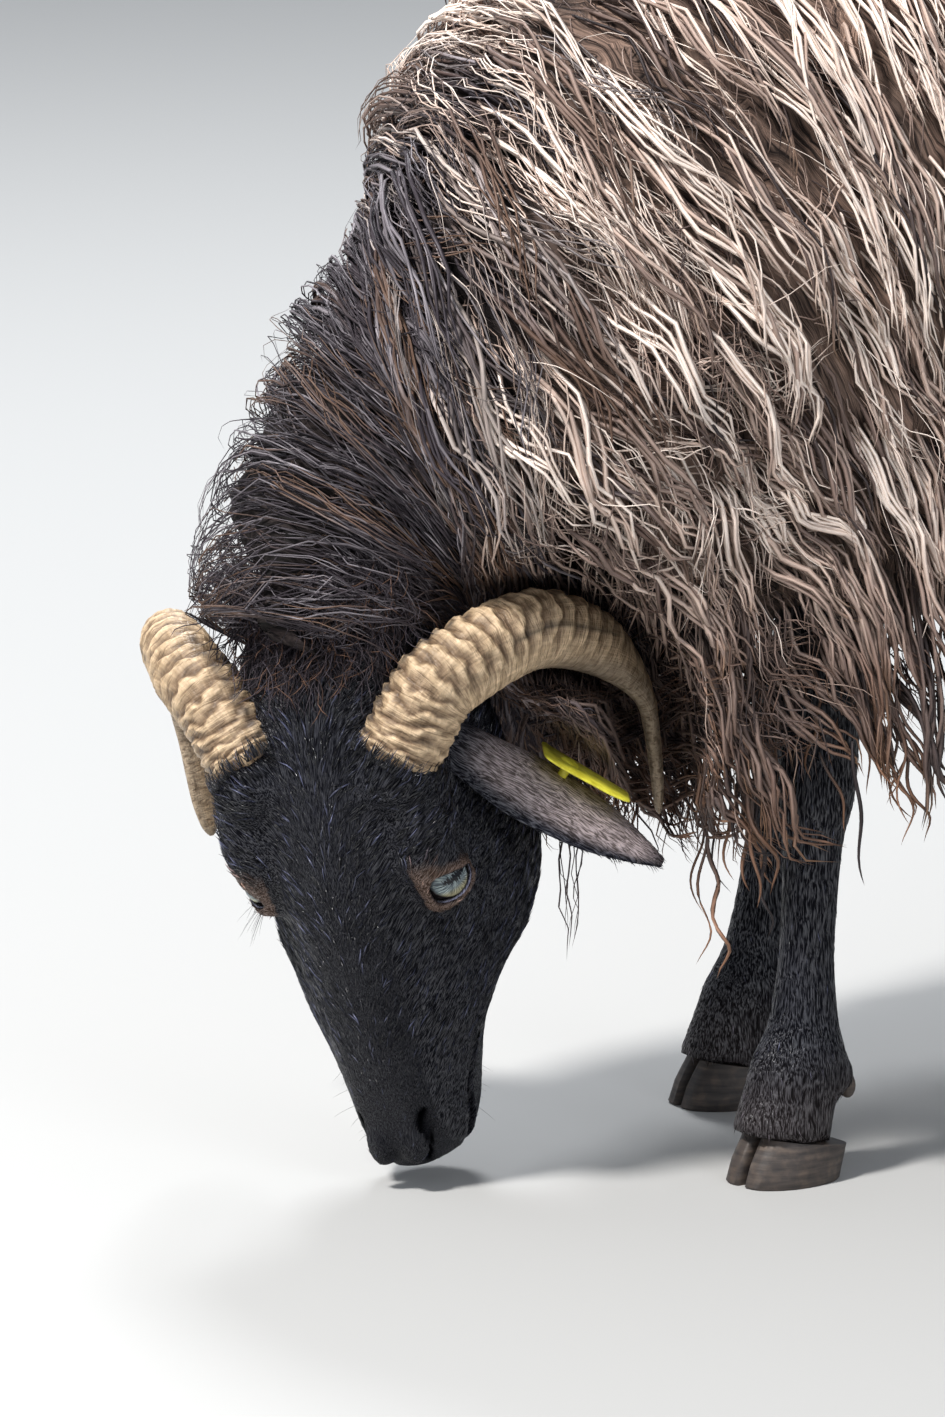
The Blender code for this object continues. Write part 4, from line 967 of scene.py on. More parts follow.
def horn_frame(side: float, share: float) -> tuple[Vector, Vector, Vector, Vector]:
    """A point of a horn's middle line, then its run, the way to its curl's middle and the way across both."""
    before, here, after = (HORN_LINE(float(np.clip(share + step, 0, 1))) for step in (-0.01, 0.0, 0.01))
    centre = HEAD.on(side, here)
    along = HEAD.toward(side, after - before)
    inward = HEAD.on(side, HORN_CURL) - centre
    inward = (inward - along * along.dot(inward)).normalized()
    return centre, along, inward, along.cross(inward) * side


def ear_frame(name: str, share: float) -> tuple[Vector, Vector, Vector, Vector]:
    """A point of an ear's middle line, then its run, its width line and the way its back faces."""
    side = SIDES[name]
    run, back = HEAD.toward(side, EAR_RUN[name]), HEAD.toward(side, EAR_BACK[name])
    back = (back - run * back.dot(run)).normalized()
    middle = HEAD.on(side, EAR_ROOT) + run * (EAR_LENGTH * share)
    return middle - back * (EAR_DROOP * share * share), run, run.cross(back), back


def leg_ring(name: str, z: float, sides: int) -> list[Vector]:
    """A leg's section at a height."""
    x, y = FEET[name]
    behind, aside, half_wide, half_deep = LEGS[name[:4]](z)
    behind += LEAN[name] * z
    x -= math.copysign(1.0, x) * aside
    return [Vector((x + w * half_wide, y + behind + d * half_deep, z)) for w, d in ovals(sides, LEG_POWER)]


def noise(points: np.ndarray, size: float, seed: int) -> np.ndarray:
    """A smooth wandering value for each point, about -1 to 1, from a few crossed waves.

    Args:
        points: places, any shape with three last.
        size: the rough length of a bump.
        seed: which pattern.
    """
    rng = np.random.default_rng(seed)
    total = np.zeros(points.shape[:-1])
    for scale, share in ((1.0, 0.5), (1.9, 0.3), (3.7, 0.2)):
        for _ in range(3):
            way = rng.normal(size=3)
            way *= 2 * math.pi * scale / size / np.linalg.norm(way)
            total += share * np.sin(points @ way + rng.uniform(0, 2 * math.pi)) / 1.4
    return total


@dataclass
class SkinPart:
    """The one skin of head, ears, neck, barrel, tail and legs, which carries all hair and wool."""

    head_voxel: float = 0.00185
    body_voxel: float = 0.0120
    leg_voxel: float = 0.0040
    lid_radius: float = 0.0173
    dewclaws: list[Vector] = field(default_factory=list)
    counts: list[int] = field(default_factory=list)

    def build(self) -> bpy.types.Object:
        """Builds the skin and gives it its colours."""
        parts = [self.head(), *(self.ear(name) for name in SIDES), self.body(), self.legs()]
        self.counts = [len(part.data.vertices) for part in parts]
        skin = merged(parts, "skin")
        self.colour(skin, self.counts)
        nodes = ["head", "neck", "torso", "tail", "ear_left", "ear_right", *FEET]
        return placed(skin, Skin(), "short_hair", *nodes)

    def head(self) -> bpy.types.Object:
        """The head with brows, lids, nostrils and lips."""
        bm = wrapped([skull_ring(along, 44) for along in np.linspace(-0.040, 0.264, 70)])
        head = [plain_mesh("skull", bm)]
        for side in SIDES.values():
            look, corner, up = eye_axes(side)
            at = eye_centre(side)
            head.append(plain_mesh("lids", ball(at, [self.lid_radius] * 3, (corner, up, look))))
            bag = at + look * 0.0030 - up * 0.0090
            head.append(plain_mesh("bag", ball(bag, (0.0180, 0.0070, 0.0115), (corner, up, look))))
            roll = self.lid_path(side, 1.14, self.lid_radius - 0.0002, np.linspace(0.46, 0.04, 26))
            head.append(plain_mesh("roll", self.pipe(roll, [0.0021] * 26, [0.0021] * 26)))
            head += [plain_mesh("lump", ball(HEAD.on(side, at), size, AXES)) for at, size in SWELLINGS]
        head.append(plain_mesh("chin", ball(HEAD.point(*CHIN[0]), CHIN[1], AXES)))
        skull = remeshed(merged(head, "head"), self.head_voxel * 1.25, 7)
        cuts = []
        for side in SIDES.values():
            look, corner, up = eye_axes(side)
            socket = ball(eye_centre(side), [EYE_RADIUS + 0.0002] * 3, (corner, up, look))
            pit = ball(HEAD.on(side, TEAR_PIT[0]), TEAR_PIT[1], AXES)
            cuts += [plain_mesh("cut", bm) for bm in (self.opening(side), socket, self.nostril(side), pit)]
        cuts += [plain_mesh("mouth", self.mouth()), plain_mesh("lip split", self.lip_split())]
        rims = [remeshed(cut_from(skull, cuts), self.head_voxel, 1)]
        for side in SIDES.values():
            rim = self.lid_path(side, 1.0, EYE_RADIUS + 0.0011, np.arange(RIM_POINTS) / RIM_POINTS)
            rims.append(plain_mesh("rim", self.hoop(rim, eye_axes(side)[0])))
        return merged(rims, "head")

    def lid_path(self, side: float, scale: float, radius: float, shares: np.ndarray) -> list[Vector]:
        """Points along the outline of the lids, on a ball round the eye.

        Args:
            side: which eye.
            scale: the size of the outline, 1 for its own.
            radius: the ball's.
            shares: where they are. 0 is the outer corner and about 0.5 the inner one, over the top.
        """
        look, corner, up = eye_axes(side)
        found = []
        for share in shares:
            along, high, _ = LID_LINE[int(share * len(LID_LINE))]
            flat = (corner * along + up * high) * scale
            out = math.sqrt(max(radius**2 - flat.length_squared, 1e-6))
            found.append(eye_centre(side) + flat + look * out)
        return found

    def hoop(self, path: Sequence[Vector], look: Vector) -> bmesh.types.BMesh:
        """A thin closed hoop along the edge of the lids."""
        rings = []
        for i, at in enumerate(path):
            along = (path[(i + 1) % len(path)] - path[i - 1]).normalized()
            across = along.cross(look).normalized()
            outward = across.cross(along)
            rings.append([at + across * (0.00115 * c) + outward * (0.0009 * s) for c, s in circle(RIM_SIDES)])
        return wrapped(rings + rings[:1])

    def opening(self, side: float) -> bmesh.types.BMesh:
        """The plug that parts the lids."""
        look, corner, up = eye_axes(side)
        rings = []
        for depth in (0.006, 0.012, 0.024):
            at = eye_centre(side) + look * depth
            rings.append([at + corner * p.x + up * p.y for p in LID_LINE[::8]])
        return wrapped(rings)

    def nostril(self, side: float) -> bmesh.types.BMesh:
        """A slit like a comma, from beside the tip of the nose up and out along its wing."""
        wide, deep = (0.0016, 0.0026, 0.0030, 0.0026, 0.0016), (0.0030, 0.0070, 0.0080, 0.0075, 0.0045)
        return self.pipe([HEAD.on(side, p) for p in NOSTRIL], wide, deep)

    def pipe(
        self, centres: Sequence[Vector], wide: Sequence[float], deep: Sequence[float]
    ) -> bmesh.types.BMesh:
        """A bent bar with an oval section."""
        rings = []
        for i, centre in enumerate(centres):
            along = centres[min(i + 1, len(centres) - 1)] - centres[max(i - 1, 0)]
            along.normalize()
            across = (Vector((1, 0, 0)) - along * along.x).normalized()
            other = along.cross(across)
            rings.append([centre + across * (wide[i] * c) + other * (deep[i] * s) for c, s in circle(16)])
        return wrapped(rings)

    def mouth(self) -> bmesh.types.BMesh:
        """A thin wedge round the muzzle where the lips close."""
        path = [*LIPS, *((-x, u, n) for x, u, n in reversed(LIPS[:-1]))]
        rings = []
        for x, u, n in path:
            inner = (x * 0.55, u - 0.001, 0.215 + (n - 0.215) * 0.55) if n >= 0.2 else (x * 0.6, u, n)
            ring = [(x * 1.12, u + 0.0038, n), (x * 1.12, u - 0.0038, n), inner]
            rings.append([HEAD.point(*p) for p in ring])
        return wrapped(rings)

    def lip_split(self) -> bmesh.types.BMesh:
        """The thin groove down the middle from the nose to the mouth."""
        rings = []
        for up, along in ((-0.040, 0.262), (-0.052, 0.2665), (-0.066, 0.267), (-0.080, 0.264)):
            ring = [(0.0, up, along - 0.0030), (0.0018, up, along + 0.006), (-0.0018, up, along + 0.006)]
            rings.append([HEAD.point(*p) for p in ring])
        return wrapped(rings)

    def ear(self, name: str) -> bpy.types.Object:
        """One ear: a cupped leaf that thins toward its rim."""
        rings = []
        for share in np.linspace(-0.06, 0.995, 44):
            middle, _, across, back = ear_frame(name, float(share))
            half, cup, thick = EAR(float(np.clip(share, 0, 1)))
            outer, inner = [], []
            for k in range(17):
                x = -math.cos(math.pi * k / 16)
                facing = (back + across * (2 * cup * x / half)).normalized()
                at = middle + across * (half * x) + back * (cup * (0.5 - x * x))
                reach = (thick + 0.0006) / 2 * (1 - 0.62 * x * x)
                outer.append(at + facing * reach)
                inner.append(at - facing * reach)
            rings.append(outer + inner[::-1])
        return plain_mesh("ear", wrapped(rings))

    def body(self) -> bpy.types.Object:
        """The barrel, neck and tail under the wool."""
        shells = [plain_mesh("barrel", wrapped([barrel_ring(y, 32) for y in np.linspace(-0.13, 0.652, 40)]))]
        shells.append(plain_mesh("neck", wrapped([neck_ring(t, 32) for t in np.linspace(-0.25, 1.0, 36)])))
        rings = []
        for share in np.linspace(0, 1, 20):
            y, z, wide, deep = TAIL(float(share))
            rings.append([Vector((0.55 * wide * c, y + 0.5 * deep * s, z)) for c, s in circle(16)])
        shells.append(plain_mesh("dock", wrapped(rings)))
        body = remeshed(merged(shells, "body"), self.body_voxel, 2)
        points = coordinates(body.data)
        moved = behind_horns(points[:, None], np.where(points[:, 0] > HEAD_MIDDLE, 1.0, -1.0), 0.034)[:, 0]
        body.data.vertices.foreach_set("co", moved.astype(np.float32).ravel())
        return body

    def legs(self) -> bpy.types.Object:
        """The four legs down to the hair line over the hooves, with the swellings under the dewclaws."""
        shells = []
        for name in FEET:
            x, y = FEET[name]
            top = float(LEGS[name[:4]].at[-1])
            bm = wrapped([leg_ring(name, z, 28) for z in np.linspace(0.012, top, 60)])
            shells.append(plain_mesh("leg", cut_off(bm, Vector((x, y, CORONET)), -HAIR_LINE)))
            behind, _, _, half_deep = LEGS[name[:4]](0.056)
            for side in (-1, 1):
                centre = Vector((x + side * 0.009, y + behind + half_deep - 0.006, 0.054))
                shells.append(plain_mesh("pad", ball(centre, (0.008, 0.008, 0.012), Matrix.Identity(3), 16)))
                self.dewclaws.append(centre + Vector((side * 0.001, 0.0045, -0.0065)))
        return remeshed(merged(shells, "legs"), self.leg_voxel, 2)

    def colour(self, skin: bpy.types.Object, counts: Sequence[int]) -> None:
        """Paints the skin: black face and legs, brown round the eyes, grey-brown ears, dark wool ground,
        painted shade in the nostrils and mouth and a pale painted highlight on the lower lids' rims.
        """
        points = coordinates(skin.data)
        colours = face_colours(points)
        ends = np.cumsum(counts)
        head, body, legs = slice(0, ends[0]), slice(ends[2], ends[3]), slice(ends[3], None)
        ears = {name: slice(ends[i], ends[i + 1]) for i, name in enumerate(SIDES)}
        for name, part in ears.items():
            colours[part] = ear_colours(points[part], name)
        colours[body] = Tone.DARK.array * 0.6
        colours[legs] = leg_colours(points[legs])
        for number, side in enumerate(SIDES.values()):
            last = int(ends[0]) - (1 - number) * RIM_SIZE
            away, _, corner, up = from_eye(side, points[last - RIM_SIZE : last])
            # The outer edge of each lower lid's rim gets a pale bluish painted highlight, a wet shine.
            low = (1 - eased(up, -0.0015, 0.0015)) * (1 - eased(-corner, 0.0110, 0.0135))
            outer = eased(np.linalg.norm(away, axis=1), EYE_RADIUS + 0.0010, EYE_RADIUS + 0.0018)
            pale = np.array((0.15, 0.15, 0.20)) - Tone.RIM.array
            colours[last - RIM_SIZE : last] = Tone.RIM.array + pale * (low * outer)[:, None]
        shine = np.ones(len(points))
        shine[head] = face_shine(points[head])
        painted(skin.data, colours, shine)
        lie = points.copy()
        lie[ends[2] :] = points[ends[2] :][:, [0, 2, 1]]
        sideways, up, along = HEAD.within(points[head]).T
        round_it = np.clip(sideways / 0.022, -1, 1)
        lie[head] = np.stack([sideways + 0.75 * along * round_it, along, up * 1.2 - 0.3 * along], axis=1)
        for name, part in ears.items():
            middle, run, across, back = (np.array(v) for v in ear_frame(name, 0.0))
            away = points[part] - middle
            lie[part] = np.stack([away @ across, away @ run, away @ back], axis=1)
        layer = skin.data.attributes.new("lie", "FLOAT_VECTOR", "POINT")
        layer.data.foreach_set("vector", lie.astype(np.float32).ravel())


def lid_distance(across: np.ndarray, high: np.ndarray) -> np.ndarray:
    """How far outside the lids' outline places are, below 0 inside, from their place along and above it."""
    line = np.array([tuple(p) for p in LID_LINE])
    turn = np.arctan2(line[:, 1], line[:, 0] + 0.001)
    reach = np.interp(
        np.arctan2(high, across + 0.001), turn, np.hypot(line[:, 0] + 0.001, line[:, 1]), period=2 * math.pi
    )
    return np.hypot(across + 0.001, high) - reach


def face_colours(points: np.ndarray) -> np.ndarray:
    """The colour of skin and hair at places of the head, with painted shade in the nostrils and along the
    closed mouth.
    """
    colours = np.tile(Tone.BLACK.array, (len(points), 1))
    for side in SIDES.values():
        _, out, across, high = from_eye(side, points)
        near = lid_distance(across, high)
        facing = (out > 0.002).astype(float)
        ragged = near + 0.0012 * noise(points, 0.010, 12)
        brown = (1 - eased(ragged / (1 + 1.7 * eased(-across, 0.0, 0.016)), 0.0022, 0.0068)) * facing
        rim = (1 - eased(near, 0.0000, 0.0010)) * facing
        colours = colours + (Tone.LID.array - colours) * brown[:, None]
        colours = colours + (np.array((0.012, 0.005, 0.005)) - colours) * rim[:, None]
    # Painted shade: the colour darkens to a tenth inside the nostrils and along the mouth.
    return colours * (0.12 + 0.88 * eased(groove(points), 0.0022, 0.0048))[:, None]


def face_shine(points: np.ndarray) -> np.ndarray:
    """How glossy the face is: not at all in nostrils and mouth, and little under the lips."""
    _, up, along = HEAD.within(points).T
    chin = eased(-up, 0.058, 0.068) * eased(along, 0.185, 0.205)
    return eased(groove(points), 0.0020, 0.0052) * (1 - 0.75 * chin)


def groove(points: np.ndarray) -> np.ndarray:
    """How far places of the head are from the nearest nostril or the closed mouth."""
    lines = [LIPS, [(-x, u, n) for x, u, n in LIPS], NOSTRIL, [(-x, u, n) for x, u, n in NOSTRIL]]
    found = np.full(len(points), 1.0)
    for line in lines:
        ends = np.array([tuple(HEAD.point(*p)) for p in line])
        for a, b in zip(ends, ends[1:]):
            share = np.clip(((points - a) @ (b - a)) / ((b - a) @ (b - a)), 0, 1)
            found = np.minimum(found, np.linalg.norm(points - a - share[:, None] * (b - a), axis=1))
    return found


def ear_colours(points: np.ndarray, name: str) -> np.ndarray:
    """The colour of skin and hair at places of an ear: brown-grey back, dark root, hollow and rim."""
    middle, run, across, back = (np.array(v) for v in ear_frame(name, 0.0))
    away = points - middle
    share = away @ run / EAR_LENGTH
    half, cup, _ = EAR.many(np.clip(share, 0, 1)).T
    x = away @ across / half
    level = away @ back - cup * (0.5 - x * x) + EAR_DROOP * share**2
    outside = eased(level, -0.0005, 0.0005) * eased(share, 0.06, 0.30) * (1 - eased(x, 0.60, 0.95))
    outside = outside * (1 - 0.75 * eased(share, 0.88, 0.98))
    colours = np.tile(Tone.BLACK.array * 1.6, (len(points), 1))
    return colours + (Tone.EAR.array - colours) * outside[:, None]


def leg_colours(points: np.ndarray) -> np.ndarray:
    """The colour of skin and hair at places of the legs."""
    worn = 1 - eased(points[:, 2], 0.03, 0.08)
    colours = np.tile(Tone.BLACK.array, (len(points), 1))
    return colours + (np.array((0.022, 0.018, 0.018)) - colours) * worn[:, None]


@dataclass
class Strands:
    """Centre lines of many strands, ready to be given thickness, and what each vertex should know."""

    lines: np.ndarray
    normals: np.ndarray
    widths: np.ndarray
    tints: np.ndarray
    roots: np.ndarray
    flat: float = 0.5

    def object(self, name: str) -> bpy.types.Object:
        """One mesh of three-sided tapering strands, closed at root and tip.

        Args:
            name: the piece's name.

        Returns:
            The object, with its strand map, its bake map and its colours.
        """
        count, steps, _ = self.lines.shape
        along = np.empty_like(self.lines)
        along[:, 1:-1] = self.lines[:, 2:] - self.lines[:, :-2]
        along[:, 0] = self.lines[:, 1] - self.lines[:, 0]
        along[:, -1] = self.lines[:, -1] - self.lines[:, -2]
        along = units(along)
        across = units(np.cross(along, self.normals))
        outward = np.cross(across, along)
        wide = self.widths[..., None]
        ring = [
            self.lines - across * wide / 2 - outward * wide * self.flat / 3,
            self.lines + across * wide / 2 - outward * wide * self.flat / 3,
            self.lines + outward * wide * self.flat * 2 / 3,
        ]
        body = np.stack(ring, axis=2)[:, :-1]
        points = np.concatenate([body.reshape(count, -1, 3), self.lines[:, -1:]], axis=1)
        per = points.shape[1]
        tip = per - 1
        quads, ends = [], [(0, 2, 1)]
        for i in range(steps - 2):
            for k in range(3):
                a, b = 3 * i + k, 3 * i + (k + 1) % 3
                quads.append((a, b, b + 3, a + 3))
        last = 3 * (steps - 2)
        for k in range(3):
            ends.append((last + k, last + (k + 1) % 3, tip))
        quads, ends = np.array(quads), np.array(ends)
        corner = np.concatenate([quads.ravel(), ends.ravel()])
        sizes = np.concatenate([np.full(len(quads), 4), np.full(len(ends), 3)])
        loops = (corner[None] + per * np.arange(count)[:, None]).ravel()
        totals = np.tile(sizes, count)
        starts = np.concatenate([[0], np.cumsum(totals)[:-1]])
        mesh = bpy.data.meshes.new(name)
        mesh.vertices.add(count * per)
        mesh.vertices.foreach_set("co", points.astype(np.float32).ravel())
        mesh.loops.add(len(loops))
        mesh.loops.foreach_set("vertex_index", loops.astype(np.int32))
        mesh.polygons.add(len(totals))
        mesh.polygons.foreach_set("loop_start", starts.astype(np.int32))
        mesh.update(calc_edges=True)
        mesh.shade_smooth()
        tints = np.repeat(self.tints[:, :-1], 3, axis=1)
        tints = np.concatenate([tints, self.tints[:, -1:]], axis=1)
        painted(mesh, tints.reshape(-1, 3))
        self.maps(mesh, corner, count, steps, tip)
        made = bpy.data.objects.new(name, mesh)
        bpy.context.scene.collection.objects.link(made)
        return made

    def maps(self, mesh: bpy.types.Mesh, corner: np.ndarray, count: int, steps: int, tip: int) -> None:
        """Adds the map along each strand and the bake map, a small patch at each root's place."""
        length = np.linalg.norm(np.diff(self.lines, axis=1), axis=2)
        length = np.concatenate([np.zeros((count, 1)), np.cumsum(length, axis=1)], axis=1)
        step = np.minimum(corner // 3, steps - 1)
        step[corner == tip] = steps - 1
        around = np.array((0.0, 1.0, 0.5))[corner % 3]
        around[corner == tip] = 0.5
        v = length[:, step] + (np.arange(count) * 0.37 % 7)[:, None]
        u = around[None] + (np.arange(count) * 0.61 % 5)[:, None]
        strand = mesh.uv_layers.new(name="strand")
        strand.data.foreach_set("uv", np.stack([u, v], axis=2).astype(np.float32).ravel())
        share = step / (steps - 1)
        patch = np.stack([around, share], axis=1)[None] * 0.003
        bake = mesh.uv_layers.new(name="OFBake")
        both = self.roots[:, None] * 0.994 + 0.0015 + patch
        bake.data.foreach_set("uv", both.astype(np.float32).ravel())


def bake_places(across: np.ndarray, along: np.ndarray) -> np.ndarray:
    """The places of roots on the bake map, kept inside it."""
    return np.clip(np.stack([across, along], axis=1), 0, 0.996)


class Hide:
    """The surface that carries the wool, sampled from the rump to the poll on both sides.

    A place on it is a side, a distance along it from the tail toward the head, and a distance down from
    the spine. Below the widest part it falls straight to the fringe.
    """

    step = 0.01
    deepest = 0.66

    def __init__(self) -> None:
        """Samples the sections of rump, barrel and neck."""
        sections = [("rump", angle) for angle in np.linspace(90, 8, 12)]
        sections += [("barrel", y) for y in np.linspace(0.560, 0.040, 40)]
        sections += [("neck", t) for t in np.linspace(0.0, 1.0, 30)]
        lines = {side: np.array([self.line(k, v, side) for k, v in sections]) for side in (1.0, -1.0)}
        self.points = lines
        steps = sum(np.linalg.norm(np.diff(lines[side][:, 16], axis=0), axis=1) for side in lines) / 2
        self.along = np.concatenate([[0.0], np.cumsum(steps)])
        self.normals = {side: self.facing(lines[side], side) for side in lines}
        self.shoulder = float(self.along[52])
        self.end = float(self.along[-1])
        self.hem = {side: np.array([self.reach(k, v, side) for k, v in sections]) for side in (1.0, -1.0)}

    def corners(self, kind: str, value: float, side: float) -> list[Vector]:
        """The bends of a section's line, from the spine to the fringe."""
        if kind == "barrel":
            back, _, half, level = BARREL(value)
            turn = arch(BARREL_POWER)
            points = [Vector((side * w * half, value, level + h * (back - level))) for w, h in turn]
            return points + [Vector((side * half, value, float(FRINGE(value)[0])))]
        if kind == "rump":
            back, _, half, level = BARREL(0.560)
            angle = math.radians(value)
            out = Vector((side * half * math.cos(angle), 0.122 * math.sin(angle), 0.0))
            top = Vector((0.0, 0.560 + 0.030 * math.sin(angle), 0.0))
            turn = arch(BARREL_POWER)
            rest = out - Vector((0.0, 0.030 * math.sin(angle), 0.0))
            points = [top + rest * w + Vector((0, 0, level + h * (back - level))) for w, h in turn]
            foot = points[-1].copy()
            foot.z = 0.245
            return points + [foot]
        middle, deep, across, half = neck_frame(value)
        points = [middle + across * (side * w * half) + deep * h for w, h in arch(NECK_POWER)]
        spread, bottom = APRON(value)
        hem = middle - deep + across * (side * half * min(spread, 1.0))
        return points + [Vector((hem.x, hem.y, min(bottom, hem.z)))]

    def line(self, kind: str, value: float, side: float) -> np.ndarray:
        """A section's line, read at even distances down from the spine."""
        bends = np.array([tuple(p) for p in self.corners(kind, value, side)])
        run = np.concatenate([[0.0], np.cumsum(np.linalg.norm(np.diff(bends, axis=0), axis=1))])
        at = np.arange(0.0, self.deepest, self.step)
        found = np.stack([np.interp(at, run, bends[:, k]) for k in range(3)], axis=1)
        beyond = at > run[-1]
        last = (bends[-1] - bends[-2]) / np.linalg.norm(bends[-1] - bends[-2])
        found[beyond] = bends[-1] + (at[beyond] - run[-1])[:, None] * last
        return found

    def reach(self, kind: str, value: float, side: float) -> float:
        """How far down the fringe lies on a section."""
        bends = self.corners(kind, value, side)
        return sum((b - a).length for a, b in zip(bends, bends[1:]))

    def facing(self, lines: np.ndarray, side: float) -> np.ndarray:
        """The way the surface faces at each sample."""
        down = np.gradient(lines, axis=1)
        run = np.gradient(lines, axis=0)
        facing = units(np.cross(run, down)) * side
        facing[:, 0] = facing[:, 1]
        for _ in range(3):
            padded = np.pad(facing, ((1, 1), (1, 1), (0, 0)), mode="edge")
            facing = units(
                padded[:-2, 1:-1] + padded[2:, 1:-1] + padded[1:-1, :-2] + padded[1:-1, 2:] + 2 * facing
            )
        return facing

    def read(self, table: np.ndarray, along: np.ndarray, down: np.ndarray) -> np.ndarray:
        """A table's value at many places, between its samples."""
        i = np.interp(along, self.along, np.arange(len(self.along)))
        j = np.clip(down / self.step, 0, table.shape[1] - 1.001)
        i0 = np.clip(i.astype(int), 0, table.shape[0] - 2)
        j0 = j.astype(int)
        u, v = (i - i0)[..., None], (j - j0)[..., None]
        near = table[i0, j0] * (1 - v) + table[i0, j0 + 1] * v
        far = table[i0 + 1, j0] * (1 - v) + table[i0 + 1, j0 + 1] * v
        return near * (1 - u) + far * u

    def at(self, side: np.ndarray, along: np.ndarray, down: np.ndarray) -> tuple[np.ndarray, np.ndarray]:
        """Points and normals for many places.

        Args:
            side: 1 for the left and -1 for the right, for each strand.
            along: distances from the tail, for each strand and step.
            down: distances from the spine, for each strand and step. Below 0 is over on the other side.

        Returns:
            The points and the way the surface faces there.
        """
        flip = down < 0
        left = (side[:, None] > 0) ^ flip
        down = np.abs(down)
        points = np.where(
            left[..., None],
            self.read(self.points[1.0], along, down),
            self.read(self.points[-1.0], along, down),
        )
        facing = np.where(
            left[..., None],
            self.read(self.normals[1.0], along, down),
            self.read(self.normals[-1.0], along, down),
        )
        return points, units(facing)

    def hem_at(self, side: np.ndarray, along: np.ndarray) -> np.ndarray:
        """How far down the fringe lies, for each strand."""
        left = np.interp(along, self.along, self.hem[1.0])
        right = np.interp(along, self.along, self.hem[-1.0])
        return np.where(side > 0, left, right)


FREE_SIDE = (0.80, -0.56, 0.21)
FREE_ROOM = 0.008


def standing_free(side: float) -> tuple[np.ndarray, np.ndarray]:
    """Points down the middle of a side's horn and ear, and the half width that each needs."""
    places, halves = [], []
    for i in range(21):
        values = HORN_LINE(i / 20)
        places.append(tuple(HEAD.on(side, values)))
        halves.append(values[3] / 2)
        middle, *_ = ear_frame("left" if side > 0 else "right", i / 20)
        places.append(tuple(middle))
        halves.append(0.024)
    return np.array(places), np.array(halves)


def behind_horns(lines: np.ndarray, sides: np.ndarray, room: float = 0.0) -> np.ndarray:
    """Bends strands in behind the horn and the ear of their side, which stand free of the wool.

    Args:
        lines: the strands' centre lines.
        sides: the side of each.
        room: how much farther in than strands go, for what lies under them.
    """
    result = lines.copy()
    for side in (1.0, -1.0):
        chosen = sides == side
        if not chosen.any():
            continue
        outward = np.array(FREE_SIDE) * (side, 1.0, 1.0)
        outward /= np.linalg.norm(outward)
        points = result[chosen]
        push = np.zeros(points.shape[:2])
        for place, half in zip(*standing_free(side)):
            away = points - place
            out = away @ outward
            beside = np.linalg.norm(away - out[..., None] * outward, axis=-1)
            near = 1 - eased(beside, half + 0.002 + room, half + FREE_ROOM + 0.010 + 2.2 * room)
            push = np.maximum(push, near * np.clip(out + half + FREE_ROOM + room, 0.0, 0.13))
        for _ in range(3):
            padded = np.pad(push, ((0, 0), (1, 1)), mode="edge")
            push = np.maximum(push * 0.999, (padded[:, :-2] + 2 * push + padded[:, 2:]) / 4)
        result[chosen] = points - push[..., None] * outward
    return result


# The coat's depth on the left, where the horn presses it, and on the right, by the distance from the
# shoulders toward the head.
NECK_DEPTH = Profile(
    (-0.10, 0.052, 0.052),
    (0.10, 0.050, 0.045),
    (0.20, 0.036, 0.042),
    (0.28, 0.026, 0.054),
    (0.34, 0.015, 0.042),
)
# How far the locks sweep back from straight down, in degrees, by the distance from the shoulders.
SWEEP = Profile(
    (-0.62, 3.0), (-0.35, 10.0), (-0.10, 18.0), (0.02, 19.0), (0.12, 20.0), (0.22, 24.0), (0.36, 34.0)
)


def sweep(x: np.ndarray, down: np.ndarray, hem: np.ndarray) -> np.ndarray:
    """The angle between the lie of the coat and straight down, toward the tail, in radians.

    Args:
        x: distances from the shoulders toward the head.
        down: distances down from the spine.
        hem: the fringe's distance down there.
    """
    angle = np.radians(SWEEP.many(x)[:, 0]) * (0.40 + 0.60 * eased(down, 0.02, 0.20))
    return angle + 0.22 * eased(x, 0.12, 0.30) * eased(down / hem, 0.3, 0.8)


@dataclass(frozen=True)
class Layer:
    """How one layer of the coat grows: locks of a few strands each, with steps points along each strand.

    Span is its stretch of the body. Pairs of length, width, wave and stand are the least and the most, and
    stand is how high in the coat it lies. Spread is the room between a lock's strands at its root, and
    close how far they join toward its tip. Meander is the length and size of a slow bend, wave and swing
    those of its waves, and frizz the size of its finest. Turn and jitter are how far its lie wanders from
    place to place and from lock to lock, hook is the bend of its tips, and start its first row past the
    spine.
    """

    name: str
    locks: int
    strands: int
    steps: int
    span: tuple[float, float]
    length: tuple[float, float]
    width: tuple[float, float]
    spread: float
    meander: tuple[float, float]
    wave: tuple[float, float]
    swing: float
    turn: float
    jitter: float
    stand: tuple[float, float]
    frizz: float = 0.0006
    hook: float = 0.5
    close: float = 0.7
    start: float = -0.05


